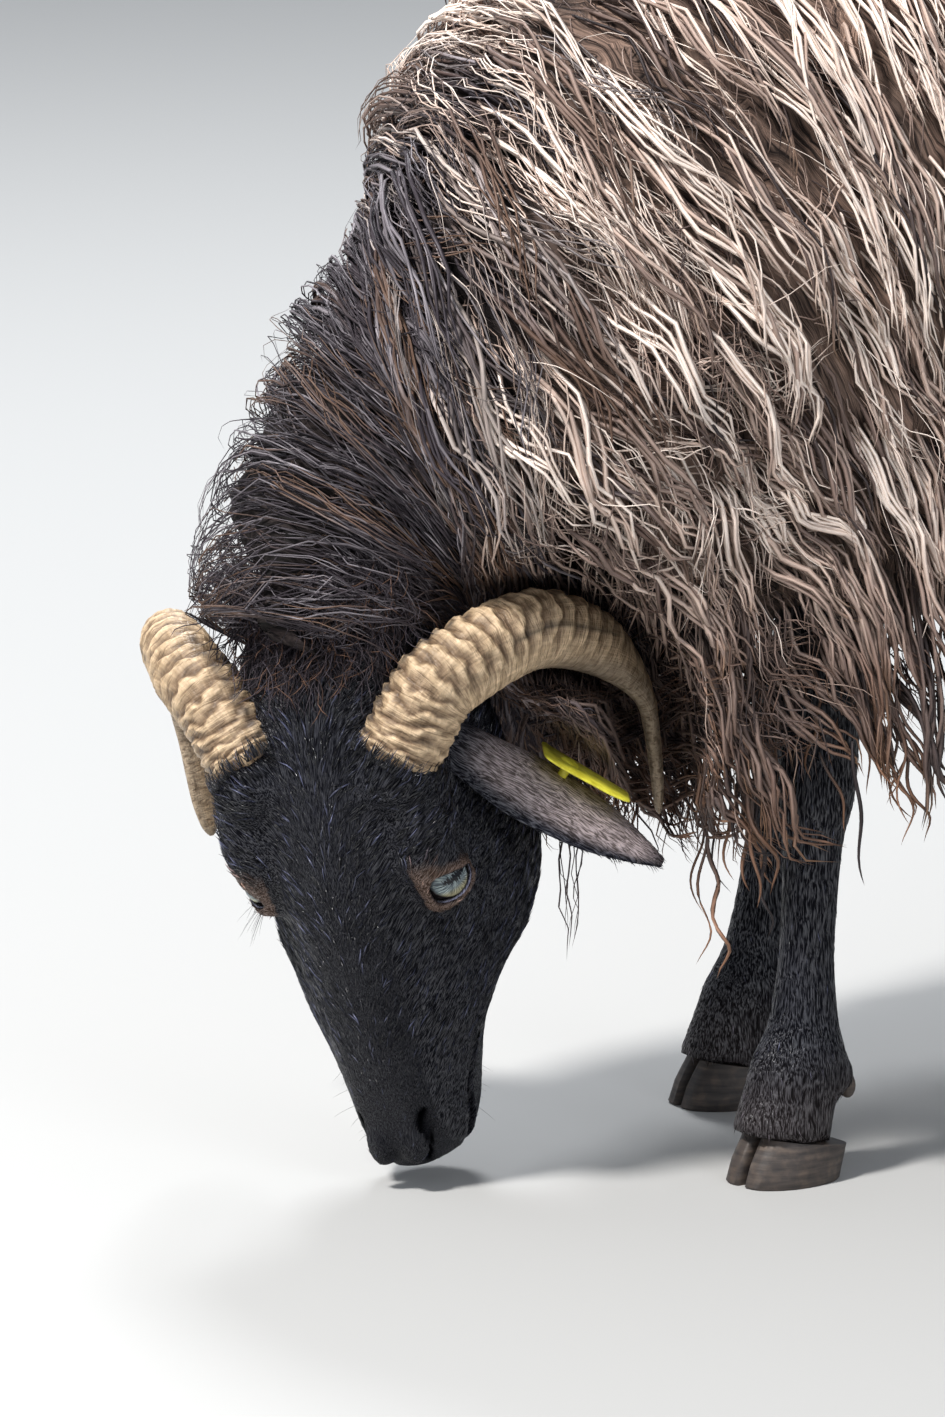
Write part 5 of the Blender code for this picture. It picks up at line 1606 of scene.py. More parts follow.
class Wardrobe(Enum):
    """The coat's layers. A span is counted from the shoulders toward the head."""

    GUARD = Layer(
        "guard", locks=1090, strands=6, steps=13, span=(-0.75, 0.24), length=(0.105, 0.165),
        width=(0.0013, 0.0033), spread=0.0100, meander=(0.12, 0.0050), wave=(0.044, 0.062), swing=0.0031,
        turn=0.15, jitter=0.050, stand=(0.80, 1.02), frizz=0.0005, hook=0.30, close=0.76,
    )
    NECK = Layer(
        "neck", locks=600, strands=8, steps=11, span=(0.04, 0.40), length=(0.060, 0.105),
        width=(0.0005, 0.0013), spread=0.0105, meander=(0.080, 0.0080), wave=(0.036, 0.056), swing=0.0026,
        turn=0.50, jitter=0.12, stand=(0.72, 1.00), frizz=0.0009, hook=0.2, close=0.60,
    )
    FUZZ = Layer(
        "fuzz", locks=2300, strands=3, steps=7, span=(-0.75, 0.40), length=(0.030, 0.055),
        width=(0.0005, 0.0011), spread=0.0080, meander=(0.040, 0.0030), wave=(0.022, 0.032), swing=0.0022,
        turn=0.20, jitter=0.40, stand=(0.62, 0.90), frizz=0.0008, hook=0.0, close=0.2,
    )
    STRAY = Layer(
        "stray", locks=1100, strands=1, steps=10, span=(-0.75, 0.40), length=(0.055, 0.100),
        width=(0.0004, 0.0007), spread=0.0, meander=(0.090, 0.0080), wave=(0.040, 0.070), swing=0.0022,
        turn=0.20, jitter=0.28, stand=(0.96, 1.02), frizz=0.0003, hook=0.6, close=0.0,
    )
    RUMP = replace(
        GUARD, name="rump", locks=150, steps=12, span=(-0.75, -0.60), length=(0.090, 0.140), jitter=0.090,
        stand=(0.84, 1.04),
    )

@dataclass
class Coat:
    """The long wool of neck, barrel, rump and tail."""

    hide: Hide
    depth: float = 0.052
    most: int = 180000

    def build(self) -> None:
        """Builds every piece of the coat."""
        for number, kind in enumerate(Wardrobe):
            rng = np.random.default_rng(SEED + number)
            self.dress(kind.value.name, self.grow(kind.value, rng))
        rng = np.random.default_rng(SEED + 20)
        self.dress("poll", self.poll(rng))
        self.dress("brisket", self.brisket(rng))
        self.dress("fringe", self.fringe(rng))
        self.dress("tail", self.tail(rng))
        self.under()

    def dress(self, name: str, whole: Strands) -> None:
        """Turns strands into pieces, none of them too large."""
        each = (whole.lines.shape[1] - 2) * 6 + 4
        pieces = -(-len(whole.lines) * each // self.most)
        per = -(-len(whole.lines) // pieces)
        slot = "neck_wool" if name in ("neck", "poll", "brisket") else "long_coat"
        for number in range(pieces):
            part = slice(number * per, (number + 1) * per)
            arrays = (whole.lines, whole.normals, whole.widths, whole.tints, whole.roots)
            some = Strands(*(array[part] for array in arrays), whole.flat)
            thing = some.object(f"wool_{name}_{number + 1}")
            placed(thing, LONG_WOOL, slot)

    def grow(self, layer: Layer, rng: np.random.Generator) -> Strands:
        """Grows a layer: locks laid like shingles, each of a few strands that close toward its tip."""
        hide, n = self.hide, layer.locks
        side = alternating(n)
        first = max(hide.shoulder + layer.span[0], 0.0)
        last = min(hide.shoulder + layer.span[1], hide.end)
        turn = (np.arange(n) // 2)[:, None] * (0.7548776662, 0.5698402910) + rng.uniform(0, 1, 2)
        turn = (turn + rng.normal(0, 0.008, (n, 2))) % 1.0
        along = first + turn[:, 0] * (last - first)
        hem = hide.hem_at(side, along)
        rows = turn[:, 1]
        down = layer.start + rows * (hem - 0.055 - layer.start)
        length = rng.uniform(*layer.length, n)
        beyond = hem - down + rng.normal(0.020, 0.016, n)
        length = np.clip(beyond, 0.045, length)
        s = np.linspace(0, 1, layer.steps)[None]
        x = along - hide.shoulder
        origin = hide.at(side, along[:, None], down[:, None])[0][:, 0]
        angle = sweep(x, down, hem) + layer.turn * noise(origin, 0.085, 31) + rng.normal(0, layer.jitter, n)
        angle = angle * (-0.25 + 1.25 * eased(along, 0.0, 0.14))
        angle = np.where(down < 0, -0.5 * angle, angle)[:, None] * np.ones_like(s)
        hook = rng.uniform(-0.35, 1.0, n) * layer.hook
        angle = angle + hook[:, None] * s**2.5
        step = length[:, None] / (layer.steps - 1)
        zero = np.zeros((n, 1))
        aside = np.concatenate([zero, np.cumsum((step * np.sin(angle))[:, :-1], axis=1)], axis=1)
        fall = np.concatenate([zero, np.cumsum((step * np.cos(angle))[:, :-1], axis=1)], axis=1)
        run = length[:, None] * s
        slow = layer.meander[0] * (1 + 0.25 * noise(origin, 0.15, 32))[:, None]
        bend = layer.meander[1] * rng.uniform(0.5, 1.0, n)[:, None]
        sway = bend * np.sin(2 * math.pi * run / slow + 4.0 * noise(origin, 0.11, 33)[:, None])
        sway = sway * (0.25 + 0.75 * s)
        middle = sum(layer.wave) / 2
        beat = (middle + (layer.wave[1] - middle) * noise(origin, 0.10, 34))[:, None]
        phase = 5.0 * noise(origin, 0.075, 35)[:, None] + rng.normal(0, 0.5, (n, 1))
        k = layer.strands
        total = n * k

        def each(values: np.ndarray) -> np.ndarray:
            """Repeats a lock's value for its strands."""
            return np.repeat(values, k, axis=0)

        turns = 2 * math.pi * each(run) / (each(beat) * rng.uniform(0.95, 1.05, total)[:, None])
        turns = turns + each(phase) + rng.normal(0, 0.35, total)[:, None]
        swing = layer.swing * rng.uniform(0.5, 1.3, total)[:, None] * (0.3 + 0.7 * s)
        own = rng.uniform(0.45, 0.75, total)[:, None] * each(beat)
        frizz = layer.frizz * rng.uniform(0.3, 1.6, total)[:, None]
        across = rng.uniform(-1, 1, total)[:, None] * layer.spread
        close = 1 - layer.close * s**0.8
        ripple = 2 * math.pi * each(run) / own + rng.uniform(0, 6.28, total)[:, None]
        lateral = each(sway) + across * close + swing * np.sin(turns) + frizz * np.sin(ripple)
        turned = each(angle)
        begin = rng.uniform(-0.012, 0.012, total)[:, None]
        places = each(along[:, None] - aside) + lateral * np.cos(turned) - begin * np.sin(turned)
        falls = each(down[:, None] + fall) + lateral * np.sin(turned) + begin * np.cos(turned)
        depth = NECK_DEPTH.many(x)
        depth = each(np.where(side > 0, depth[:, 0], depth[:, 1]))[:, None]
        level = each(rng.uniform(*layer.stand, n))[:, None]
        lay = np.interp(s, (0.0, 0.25, 0.6, 0.85, 1.0), (0.45, 0.85, 1.0, 0.95, 0.86))
        height = depth * level * lay + swing * np.cos(turns) + frizz * np.cos(ripple)
        height = height + rng.uniform(-1, 1, total)[:, None] * 0.0035 * close
        flick = each((rng.uniform(0, 1, n) < 0.10) * rng.uniform(0.003, 0.010, n))[:, None]
        height = np.maximum(height + flick * s**3, 0.002)
        places = np.clip(places, 0.001, hide.end - 0.0005)
        sides = each(side)
        points, facing = hide.at(sides, places, falls)
        lines = behind_horns(points + facing * height[..., None], sides)
        width = rng.uniform(*layer.width, total)[:, None] * self.taper(s)
        tints = wool_tints(layer, rng, each(x), each(rows), lines, s, k)
        roots = bake_places(places[:, 0] / hide.end, 0.5 + 0.5 * sides * falls[:, 0] / hide.deepest)
        return Strands(lines, facing, width, tints, roots)

    def taper(self, s: np.ndarray) -> np.ndarray:
        """A strand's width along its length, as a share of its widest."""
        return np.interp(s, (0.0, 0.12, 0.55, 0.85, 1.0), (0.5, 0.95, 1.0, 0.6, 0.15))

    def curls(self, rng: np.random.Generator, roots: np.ndarray, ways: np.ndarray, steps: int) -> np.ndarray:
        """Centre lines of free curls.

        Args:
            rng: their chance.
            roots: where each starts.
            ways: how far each reaches in its own direction, as a vector.
            steps: how many points each line has.
        """
        n = len(roots)
        s = np.linspace(0, 1, steps)[None, :, None]
        length = np.linalg.norm(ways, axis=1)[:, None, None]
        along = units(ways)[:, None]
        first = units(np.cross(along, rng.normal(size=(n, 1, 3))))
        second = np.cross(along, first)
        beat = rng.uniform(0.028, 0.055, (n, 1, 1))
        turn = 2 * math.pi * s * length / beat + rng.uniform(0, 6.28, (n, 1, 1))
        swing = rng.uniform(0.0015, 0.0050, (n, 1, 1)) * (0.3 + s)
        return roots[:, None] + along * length * s + swing * (first * np.sin(turn) + second * np.cos(turn))

    def poll(self, rng: np.random.Generator) -> Strands:
        """The dark wool between the horns that spills on the forehead."""
        n = 1500
        aside = rng.uniform(-1, 1, n)
        at = rng.uniform(-0.075, -0.022, n)
        top = SKULL.many(np.clip(at, -0.04, 0.2))[:, 0]
        left, rise, nose = (np.array(v) for v in AXES)
        half = np.interp(at, (-0.07, -0.04, -0.02), (0.055, 0.048, 0.032))
        rooted = np.array(HEAD.poll) + np.outer(aside * half, left) + np.outer(top - 0.014 * aside**2, rise)
        rooted = rooted + np.outer(at, nose)
        reach = rng.uniform(0.020, 0.045, n)
        out = rng.uniform(0.10, 0.60, n) * np.where(at < -0.02, 1.2, 0.5)
        way = np.outer(-aside * 0.25 + rng.normal(0, 0.35, n), left) + np.outer(out, rise)
        way = way + np.outer(rng.uniform(0.1, 1.0, n), nose)
        lines = self.curls(rng, rooted, units(way) * reach[:, None], 8)
        s = np.linspace(0, 1, 8)[None]
        width = rng.uniform(0.0004, 0.0009, n)[:, None] * self.taper(s)
        own = rng.uniform(0.6, 1.8, n)[:, None, None]
        tints = Tone.NECK.array * own * np.ones((n, 8, 1))
        red = (rng.uniform(0, 1, n) < 0.18)[:, None] * eased(s, 0.3, 1.0)
        tints = tints + (Tone.RED.array * 0.8 - tints) * red[..., None]
        normals = np.broadcast_to(rise, lines.shape)
        return Strands(lines, normals, width, tints, bake_places(0.5 + 0.4 * aside, 0.3 + at * 4))

    def brisket(self, rng: np.random.Generator) -> Strands:
        """The long wool that hangs from the throat and the brisket."""
        n = 620
        t = rng.uniform(-0.12, 0.62, n)
        values = NECK.many(t)
        crest, throat, half = values[:, 0:3], values[:, 3:6], values[:, 6]
        spread, bottom = APRON.many(t).T
        across = rng.uniform(-1, 1, n) * half * np.clip(spread, 0.25, 1.0)
        rooted = throat + (crest - throat) * rng.uniform(0.02, 0.16, n)[:, None]
        rooted[:, 0] += across
        hang = rooted[:, 2] - bottom + rng.normal(0.0, 0.012, n)
        ways = np.stack([rng.normal(0, 0.012, n), 0.35 * hang * rng.uniform(0.0, 0.8, n), -hang], axis=1)
        lines = self.curls(rng, rooted, ways, 16)
        lines = behind_horns(lines, np.ones(n))
        s = np.linspace(0, 1, 16)[None]
        width = rng.uniform(0.0014, 0.0032, n)[:, None] * self.taper(s)
        tints = Tone.DARK.array * rng.uniform(0.7, 1.6, n)[:, None, None] * np.ones((n, 16, 1))
        low = eased(s, 0.4, 1.0) * (rng.uniform(0, 1, n) < 0.6)[:, None]
        tints = tints + (Tone.RED.array * 0.75 - tints) * low[..., None]
        normals = np.broadcast_to(np.array((0.0, -1.0, 0.0)), lines.shape)
        return Strands(lines, normals, width, tints, bake_places(0.5 + across * 3, 0.2 + t))

    def fringe(self, rng: np.random.Generator) -> Strands:
        """Corkscrew tips and a few long single curls that hang from the coat's lower edge."""
        hide, n, steps = self.hide, 360, 17
        side = alternating(n)
        along = rng.uniform(0.02, hide.shoulder + 0.10, n)
        down = hide.hem_at(side, along) - rng.uniform(0.020, 0.060, n)
        points, facing = hide.at(side, along[:, None], down[:, None])
        rooted = points[:, 0] + facing[:, 0] * rng.uniform(0.010, 0.050, n)[:, None]
        long = rng.uniform(0, 1, n) < 0.12
        reach = rng.uniform(0.045, 0.080, n) + 0.030 * long
        ways = np.stack([rng.normal(0, 0.1, n), rng.uniform(-0.05, 0.45, n), np.full(n, -1.0)], axis=1)
        lines = self.curls(rng, rooted, units(ways) * reach[:, None], steps)
        lines = behind_horns(lines, side)
        s = np.linspace(0, 1, steps)[None]
        width = rng.uniform(0.0014, 0.0028, n)[:, None] * self.taper(s)
        own = rng.uniform(0.55, 1.35, n)[:, None, None]
        dark = Tone.BROWN.array * 0.6
        tints = dark + (Tone.RED.array - dark) * eased(s, 0.1, 0.8)[..., None]
        tints = np.where(long[:, None, None], Tone.DARK.array, tints) * own
        roots = bake_places(along / hide.end, np.full(n, 0.5))
        return Strands(lines, np.broadcast_to(facing, lines.shape), width, tints, roots)

    def tail(self, rng: np.random.Generator) -> Strands:
        """The wool of the tail, which hangs nearly to the hocks."""
        n, steps = 520, 16
        share = rng.uniform(0.0, 0.80, n)
        angle = rng.uniform(0, 2 * math.pi, n)
        s = np.linspace(0, 1, steps)[None]
        _, z, _, _ = TAIL.many(share).T
        length = np.minimum(rng.uniform(0.10, 0.20, n), z - 0.235 + rng.normal(0, 0.01, n))
        length = np.maximum(length, 0.03)
        height = z[:, None] - length[:, None] * s
        at = np.interp(height, TAIL.values[::-1, 1], TAIL.at[::-1])
        rows = TAIL.many(at)
        lift = 0.35 + 0.65 * eased(s, 0.0, 0.35)
        turn = 2 * math.pi * length[:, None] * s / rng.uniform(0.04, 0.07, n)[:, None] + angle[:, None] * 5
        out = lift * rng.uniform(0.75, 1.05, n)[:, None]
        wide = rows[..., 2] * out + 0.002 * np.sin(turn)
        deep = rows[..., 3] * out + 0.002 * np.cos(turn)
        spin = angle[:, None] + 0.12 * np.sin(turn * 0.5)
        lines = np.stack([wide * np.cos(spin), rows[..., 0] + deep * np.sin(spin), height], axis=2)
        normals = np.stack([np.cos(spin), np.sin(spin), np.full_like(spin, 0.01)], axis=2)
        width = rng.uniform(0.0018, 0.0034, n)[:, None] * self.taper(s)
        tints = wool_tints(Wardrobe.GUARD.value, rng, np.full(n, -0.5), share, lines, s, 1)
        return Strands(lines, units(normals), width, tints, bake_places(angle / 6.3, share))

    def under(self) -> None:
        """The felted wool under the locks, a lumpy shell that closes the gaps between them."""
        shells = []
        rings = []
        for y in np.linspace(-0.13, 0.652, 50):
            ring = barrel_ring(float(y), 40)
            middle = sum(ring, Vector()) / len(ring)
            grow = 0.64 * self.depth
            rings.append([p + (p - middle).normalized() * grow for p in ring])
        for behind, share in ((0.012, 0.90), (0.020, 0.6)):
            middle = sum(rings[-1], Vector()) / len(rings[-1])
            rings.append([middle.lerp(p, share) + Vector((0, behind, 0)) for p in rings[-1]])
        shells.append(plain_mesh("barrel", wrapped(rings)))
        rings = []
        for t in np.linspace(-0.25, 1.0, 44):
            ring = neck_ring(float(t), 40)
            middle, _, across, _ = neck_frame(float(t))
            left, right = NECK_DEPTH(0.34 * float(t))
            grown = []
            for p in ring:
                away = p - middle
                grow = 0.62 * (left if away.dot(across) > 0 else right)
                grown.append(p + away.normalized() * grow)
            rings.append(grown)
        shells.append(plain_mesh("neck", wrapped(rings)))
        thing = remeshed(merged(shells, "wool_under"), 0.0095, 2)
        mesh = thing.data
        points = coordinates(mesh)
        facing = np.array([tuple(n.vector) for n in mesh.vertex_normals])
        lie, beside, x, down = self.lie(points)
        grain = np.stack([beside * 3.2, lie, lie * 0], 1)
        bumps = noise(points, 0.045, 3) * 0.0030 + noise(grain, 0.030, 4) * 0.0026
        points = points + facing * bumps[:, None]
        points = behind_horns(points[:, None], np.where(points[:, 0] > HEAD_MIDDLE, 1.0, -1.0), 0.022)[:, 0]
        mesh.vertices.foreach_set("co", points.astype(np.float32).ravel())
        mesh.update()
        tone = 0.80 + 0.40 * noise(points, 0.06, 5)
        aside = 1 - eased(x - 0.072 - 0.09 * eased(down, 0.03, 0.20), -0.05, 0.03)
        light = aside * eased(points[:, 2], 0.24, 0.36)
        colours = Tone.DARK.array + (Tone.BEIGE.array * 0.9 - Tone.DARK.array) * light[:, None]
        painted(mesh, colours * np.clip(tone, 0.4, 1.3)[:, None])
        unwrap_round(mesh, points, np.stack([beside, lie], axis=1))
        placed(thing, Felt(), "long_coat")


    def lie(self, points: np.ndarray) -> tuple[np.ndarray, ...]:
        """Reads the coat's lie at places near the hide.

        Args:
            points: the places.

        Returns:
            For each, its place along the lie and beside it, and its distance from the shoulders and from
            the spine.
        """
        hide = self.hide
        tree = KDTree(2 * len(hide.along) * hide.points[1.0].shape[1])
        rows = []
        for side in (1.0, -1.0):
            table = hide.points[side]
            run, fall = np.gradient(table, axis=0), np.gradient(table, axis=1)
            for i in range(table.shape[0]):
                for j in range(table.shape[1]):
                    tree.insert(table[i, j], len(rows))
                    rows.append((*table[i, j], *run[i, j], *fall[i, j], hide.along[i], j * hide.step))
        tree.balance()
        rows = np.array(rows)[[tree.find(p)[1] for p in points]]
        away = points - rows[:, 0:3]
        x = rows[:, 9] - hide.shoulder + (away * units(rows[:, 3:6])).sum(1)
        down = rows[:, 10] + (away * units(rows[:, 6:9])).sum(1)
        angle = sweep(x, down, np.full(len(x), 0.45))
        along = down * np.cos(angle) - x * np.sin(angle)
        return along, down * np.sin(angle) + x * np.cos(angle), x, down


def unwrap_round(mesh: bpy.types.Mesh, points: np.ndarray, lie: np.ndarray) -> None:
    """Gives a shell round the body its bake map, by angle and length, and its map of the lie."""
    corner = np.empty(len(mesh.loops), np.int32)
    mesh.loops.foreach_get("vertex_index", corner)
    angle = np.arctan2(points[:, 0], points[:, 2] - 0.45) / (2 * math.pi) + 0.5
    flat = np.stack([np.clip(angle, 0.001, 0.999), np.clip((points[:, 1] + 0.4) / 1.2, 0, 1)], axis=1)
    for name, values in (("strand", lie), ("OFBake", flat)):
        layer = mesh.uv_layers.new(name=name)
        layer.data.foreach_set("uv", values[corner].astype(np.float32).ravel())


def wool_tints(
    layer: Layer,
    rng: np.random.Generator,
    x: np.ndarray,
    rows: np.ndarray,
    lines: np.ndarray,
    s: np.ndarray,
    k: int,
) -> np.ndarray:
    """The colour along every strand of a layer, with painted shade toward the roots and silver painted glints
    on the dark neck wool.

    Args:
        layer: the layer.
        rng: its chance.
        x: each strand's distance from the shoulders toward the head.
        rows: how far down the side its lock is rooted, 0 to 1.
        lines: the strands' centre lines.
        s: shares of the strands' length.
        k: strands in a lock.

    Returns:
        One colour for each strand and step.
    """
    total = len(x)
    lock = np.repeat(rng.uniform(0, 1, total // k), k)
    own = rng.normal(0, 0.19, total)
    z = lines[..., 2]
    border = 0.074 + np.repeat(rng.normal(0, 0.036, total // k), k) + 0.116 * eased(rows, 0.05, 0.50)
    dark = eased(x - border, -0.040, 0.045)
    pale = np.clip(1.18 - 0.95 * lock**1.3 + own, 0, 1)[:, None]
    # Each strand is darker toward its root, painted shade deep in the coat, and paler higher up the body.
    light = pale * (0.36 + 0.64 * eased(z, 0.25, 0.38)) * (0.30 + 0.70 * eased(s, 0.0, 0.25))
    if layer.name == "fuzz":
        light = light * 0.60
    if layer.name == "stray":
        light = np.clip(light * 1.3 + 0.25, 0, 1)
    table = np.array([t.array for t in (Tone.DARK, Tone.BROWN, Tone.BEIGE, Tone.STRAW, Tone.CREAM)])
    at = np.clip(light, 0, 1) * 4
    colours = np.stack([np.interp(at, range(5), table[:, c]) for c in range(3)], axis=-1)
    ends = eased(s, 0.40, 1.0) * (1 - eased(z, 0.25, 0.35))
    colours = colours + (Tone.RED.array - colours) * (0.80 * ends * (lock < 0.8)[:, None])[..., None]
    warm = eased(s, 0.75, 1.0) * (own > 0.02)[:, None] * 0.35
    colours = colours + (np.array((0.42, 0.25, 0.13)) - colours) * warm[..., None]
    # Many strands of the dark neck wool get silver-grey painted glints.
    glint = eased(own, 0.03, 0.22)[:, None] * (0.4 + 0.6 * eased(noise(lines, 0.05, 8), 0.0, 0.6))
    ground = Tone.NECK.array + (Tone.SILVER.array - Tone.NECK.array) * glint[..., None]
    brown = (lock > 0.70)[:, None] * eased(s, 0.15, 0.7) * 0.8
    ground = ground + (np.array((0.175, 0.105, 0.070)) - ground) * brown[..., None]
    colours = colours + (ground - colours) * dark[:, None, None]
    shade = 1.0 + 0.18 * noise(lines, 0.035, 9)
    return colours * shade[..., None]


@dataclass
class ShortHair:
    """Short glossy hair on the face, ears and legs, lying along the skin, and a few whiskers."""

    skin: bpy.types.Object
    counts: Sequence[int]
    face: int = 14500
    ears: int = 5200
    legs: int = 5600

    def build(self) -> None:
        """Builds the hair of the face, ears and legs, and the whiskers."""
        rng = np.random.default_rng(SEED + 40)
        ends = [0, *np.cumsum(self.counts)]
        self.read()
        points, facing = self.rooted(rng, ends[0], ends[1] - 2 * RIM_SIZE, self.face, self.face_share)
        ways, length = self.face_ways(points, rng)
        tints = face_colours(points) * self.chance(rng, len(points))
        within = HEAD.within(points)
        turn = np.arctan2(within[:, 0], within[:, 1] + 0.07)
        unwrap = bake_places(turn / 6.3 + 0.5, within[:, 2] * 3 + 0.15)
        self.piece("hair_face", rng, points, facing, ways, length, tints, unwrap)
        self.ear_hair(rng, ends)
        points, facing = self.rooted(rng, ends[4], ends[5], self.legs, lambda p: (p[:, 2] < 0.27) * 1.0)
        ways = np.tile((0.0, 0.05, -1.0), (len(points), 1)) + rng.normal(0, 0.10, (len(points), 3))
        length = np.interp(points[:, 2], (0.02, 0.06, 0.20, 0.30), (0.006, 0.0065, 0.0065, 0.010))
        length = length * rng.uniform(0.8, 1.2, len(points))
        tints = leg_colours(points) * self.chance(rng, len(points))
        unwrap = bake_places((points[:, 0] * 6 + points[:, 1] * 1.1) % 0.99, points[:, 2] * 2)
        self.piece("hair_legs", rng, points, facing, ways, length, tints, unwrap)
        self.whiskers(rng)
        self.cuffs(rng)

    def cuffs(self, rng: np.random.Generator) -> None:
        """Builds the black hair that climbs the foot of each horn."""
        n, steps = 700, 5
        side = alternating(n)
        turn = rng.uniform(0, 2 * math.pi, n)
        axes = {s: [np.array(v) for v in horn_frame(s, 0.0)] for s in SIDES.values()}
        middle, along, inward, aside = (np.array([axes[s][i] for s in side]) for i in range(4))
        wide, thick = HORN_LINE(0.0)[3:] / 2
        out = inward * (wide * np.cos(turn))[:, None] + aside * (thick * np.sin(turn))[:, None]
        s = np.linspace(0, 1, steps)[None, :, None]
        length = rng.uniform(0.005, 0.015, n)[:, None, None]
        way = along + rng.normal(0, 0.25, (n, 1)) * np.cross(along, units(out))
        lift = 1.0 + (0.0012 + 0.0016 * np.sin(math.pi * s) + rng.uniform(0, 0.0012, (n, 1, 1))) / 0.022
        roots = middle[:, None] - along[:, None] * 0.006
        lines = roots + out[:, None] * lift + units(way)[:, None] * length * s
        width = rng.uniform(0.0004, 0.0008, n)[:, None] * np.interp(s[..., 0], (0, 0.5, 1), (1.0, 0.9, 0.15))
        tints = (Tone.BLACK.array * self.chance(rng, n))[:, None] * np.ones((n, steps, 1))
        unwrap = np.stack([turn / 6.3, 0.25 + 0.2 * side], axis=1)
        facing = np.broadcast_to(units(out)[:, None], lines.shape)
        strands = Strands(lines, facing, width, tints, unwrap, 0.55)
        placed(strands.object("hair_horns"), SHORT, "short_hair")

    def ear_hair(self, rng: np.random.Generator, ends: Sequence[int]) -> None:
        """Builds the hair of both ears, which runs toward their tips."""
        for number, name in enumerate(SIDES):
            points, facing = self.rooted(rng, ends[1 + number], ends[2 + number], self.ears // 2, None)
            _, run, across, _ = (np.array(v) for v in ear_frame(name, 0.5))
            middle = np.array(ear_frame(name, 0.0)[0])
            out = np.sign((points - middle) @ across)
            ways = run + 0.25 * out[:, None] * across + rng.normal(0, 0.12, (len(points), 3))
            length = rng.uniform(0.0032, 0.0056, len(points))
            tints = ear_colours(points, name) * self.chance(rng, len(points), 0.7)
            away = points - middle
            unwrap = bake_places((away @ across) * 8 + 0.5, (away @ run) * 6 + 0.1)
            self.piece(f"hair_ear_{name}", rng, points, facing, ways, length, tints, unwrap)

    def chance(self, rng: np.random.Generator, count: int, most: float = 15.0) -> np.ndarray:
        """A brightness for each tuft, varied at random, with painted glints: some tufts much brighter, and
        bluish where most is over 2, the brightest by most.
        """
        bright = rng.uniform(0.5, 1.4, count)
        # About a quarter of the tufts are painted glints, brighter than the rest.
        lit = rng.uniform(0, 1, count) < 0.24
        found = np.where(lit, bright * (1.5 + most * rng.uniform(0, 1, count) ** 2), bright)[:, None]
        return found * np.where(lit[:, None] & (most > 2), (0.95, 0.98, 1.11), 1.0)

    def read(self) -> None:
        """Reads the skin's triangles and normals, laid out from the fore feet."""
        mesh = self.skin.data
        mesh.calc_loop_triangles()
        self.points = coordinates(mesh) - np.array(TO_ORIGIN)
        self.facing = np.empty(len(mesh.vertices) * 3, np.float32)
        mesh.vertex_normals.foreach_get("vector", self.facing)
        self.facing = self.facing.reshape(-1, 3).astype(float)
        self.faces = np.empty(len(mesh.loop_triangles) * 3, np.int32)
        mesh.loop_triangles.foreach_get("vertices", self.faces)
        self.faces = self.faces.reshape(-1, 3)

    def rooted(
        self,
        rng: np.random.Generator,
        first: int,
        last: int,
        count: int,
        share: Callable[[np.ndarray], np.ndarray] | None,
    ) -> tuple[np.ndarray, np.ndarray]:
        """Random places on a part of the skin, even over its area.

        Args:
            rng: their chance.
            first, last: the part's vertices.
            count: how many places.
            share: how dense they are at given points, or None for even.

        Returns:
            The places and the way the skin faces there.
        """
        faces = self.faces[(self.faces.min(1) >= first) & (self.faces.max(1) < last)]
        a, b, c = (self.points[faces[:, i]] for i in range(3))
        area = np.linalg.norm(np.cross(b - a, c - a), axis=1)
        if share is not None:
            area = area * share((a + b + c) / 3)
        pick = rng.choice(len(faces), count, p=area / area.sum())
        u, v = rng.uniform(0, 1, count), rng.uniform(0, 1, count)
        flip = u + v > 1
        u, v = np.where(flip, 1 - u, u)[:, None], np.where(flip, 1 - v, v)[:, None]
        chosen = faces[pick]
        weights = (1 - u - v, u, v)
        points = sum(w * self.points[chosen[:, i]] for i, w in enumerate(weights))
        facing = sum(w * self.facing[chosen[:, i]] for i, w in enumerate(weights))
        return points, units(facing)

    def face_share(self, points: np.ndarray) -> np.ndarray:
        """How dense the hair of the head is: none on the eyeball's rim, in the mouth or under the wool."""
        dense = np.ones(len(points))
        for side in SIDES.values():
            away, out, across, high = from_eye(side, points)
            dense[(np.linalg.norm(away, axis=1) < EYE_RADIUS + 0.0020)] = 0.0
            dense[(out > 0) & (lid_distance(across, high) < 0.0016)] = 0.0
        dense[groove(points) < 0.0040] = 0.0
        within = HEAD.within(points)
        dense[(within[:, 2] < -0.03)] = 0.0
        dense[(within[:, 2] < 0.03) & (within[:, 1] < -0.10)] *= 0.4
        return dense

    def face_ways(self, points: np.ndarray, rng: np.random.Generator) -> tuple[np.ndarray, np.ndarray]:
        """The way each tuft of the face points, up and out from the middle line, and its length."""
        left, rise, nose = (np.array(v) for v in AXES)
        sideways, up, along = HEAD.within(points).T
        out = np.clip(sideways / 0.022, -1, 1)
        high = eased(up, -0.07, -0.01)
        ways = np.outer(out * (0.30 + 0.50 * high), left)
        ways = ways + np.outer(-0.25 - 0.35 * (1 - high), rise)
        ways = ways - np.outer(0.55 + 0.45 * eased(along, 0.06, 0.16), nose)
        for side in SIDES.values():
            away = points - np.array(eye_centre(side))
            near = 1 - eased(np.linalg.norm(away, axis=1), 0.020, 0.032)
            ways = ways + (units(away) * 1.2 - ways * 0.5) * near[:, None]
        ways = ways + rng.normal(0, 0.13, ways.shape)
        length = np.interp(along, (0.0, 0.05, 0.18, 0.22, 0.26), (0.012, 0.010, 0.008, 0.0050, 0.0035))
        for side in SIDES.values():
            near = np.linalg.norm(points - np.array(eye_centre(side)), axis=1)
            length = length * (0.50 + 0.50 * eased(near, 0.018, 0.030))
        return ways, length * rng.uniform(0.8, 1.25, len(points))

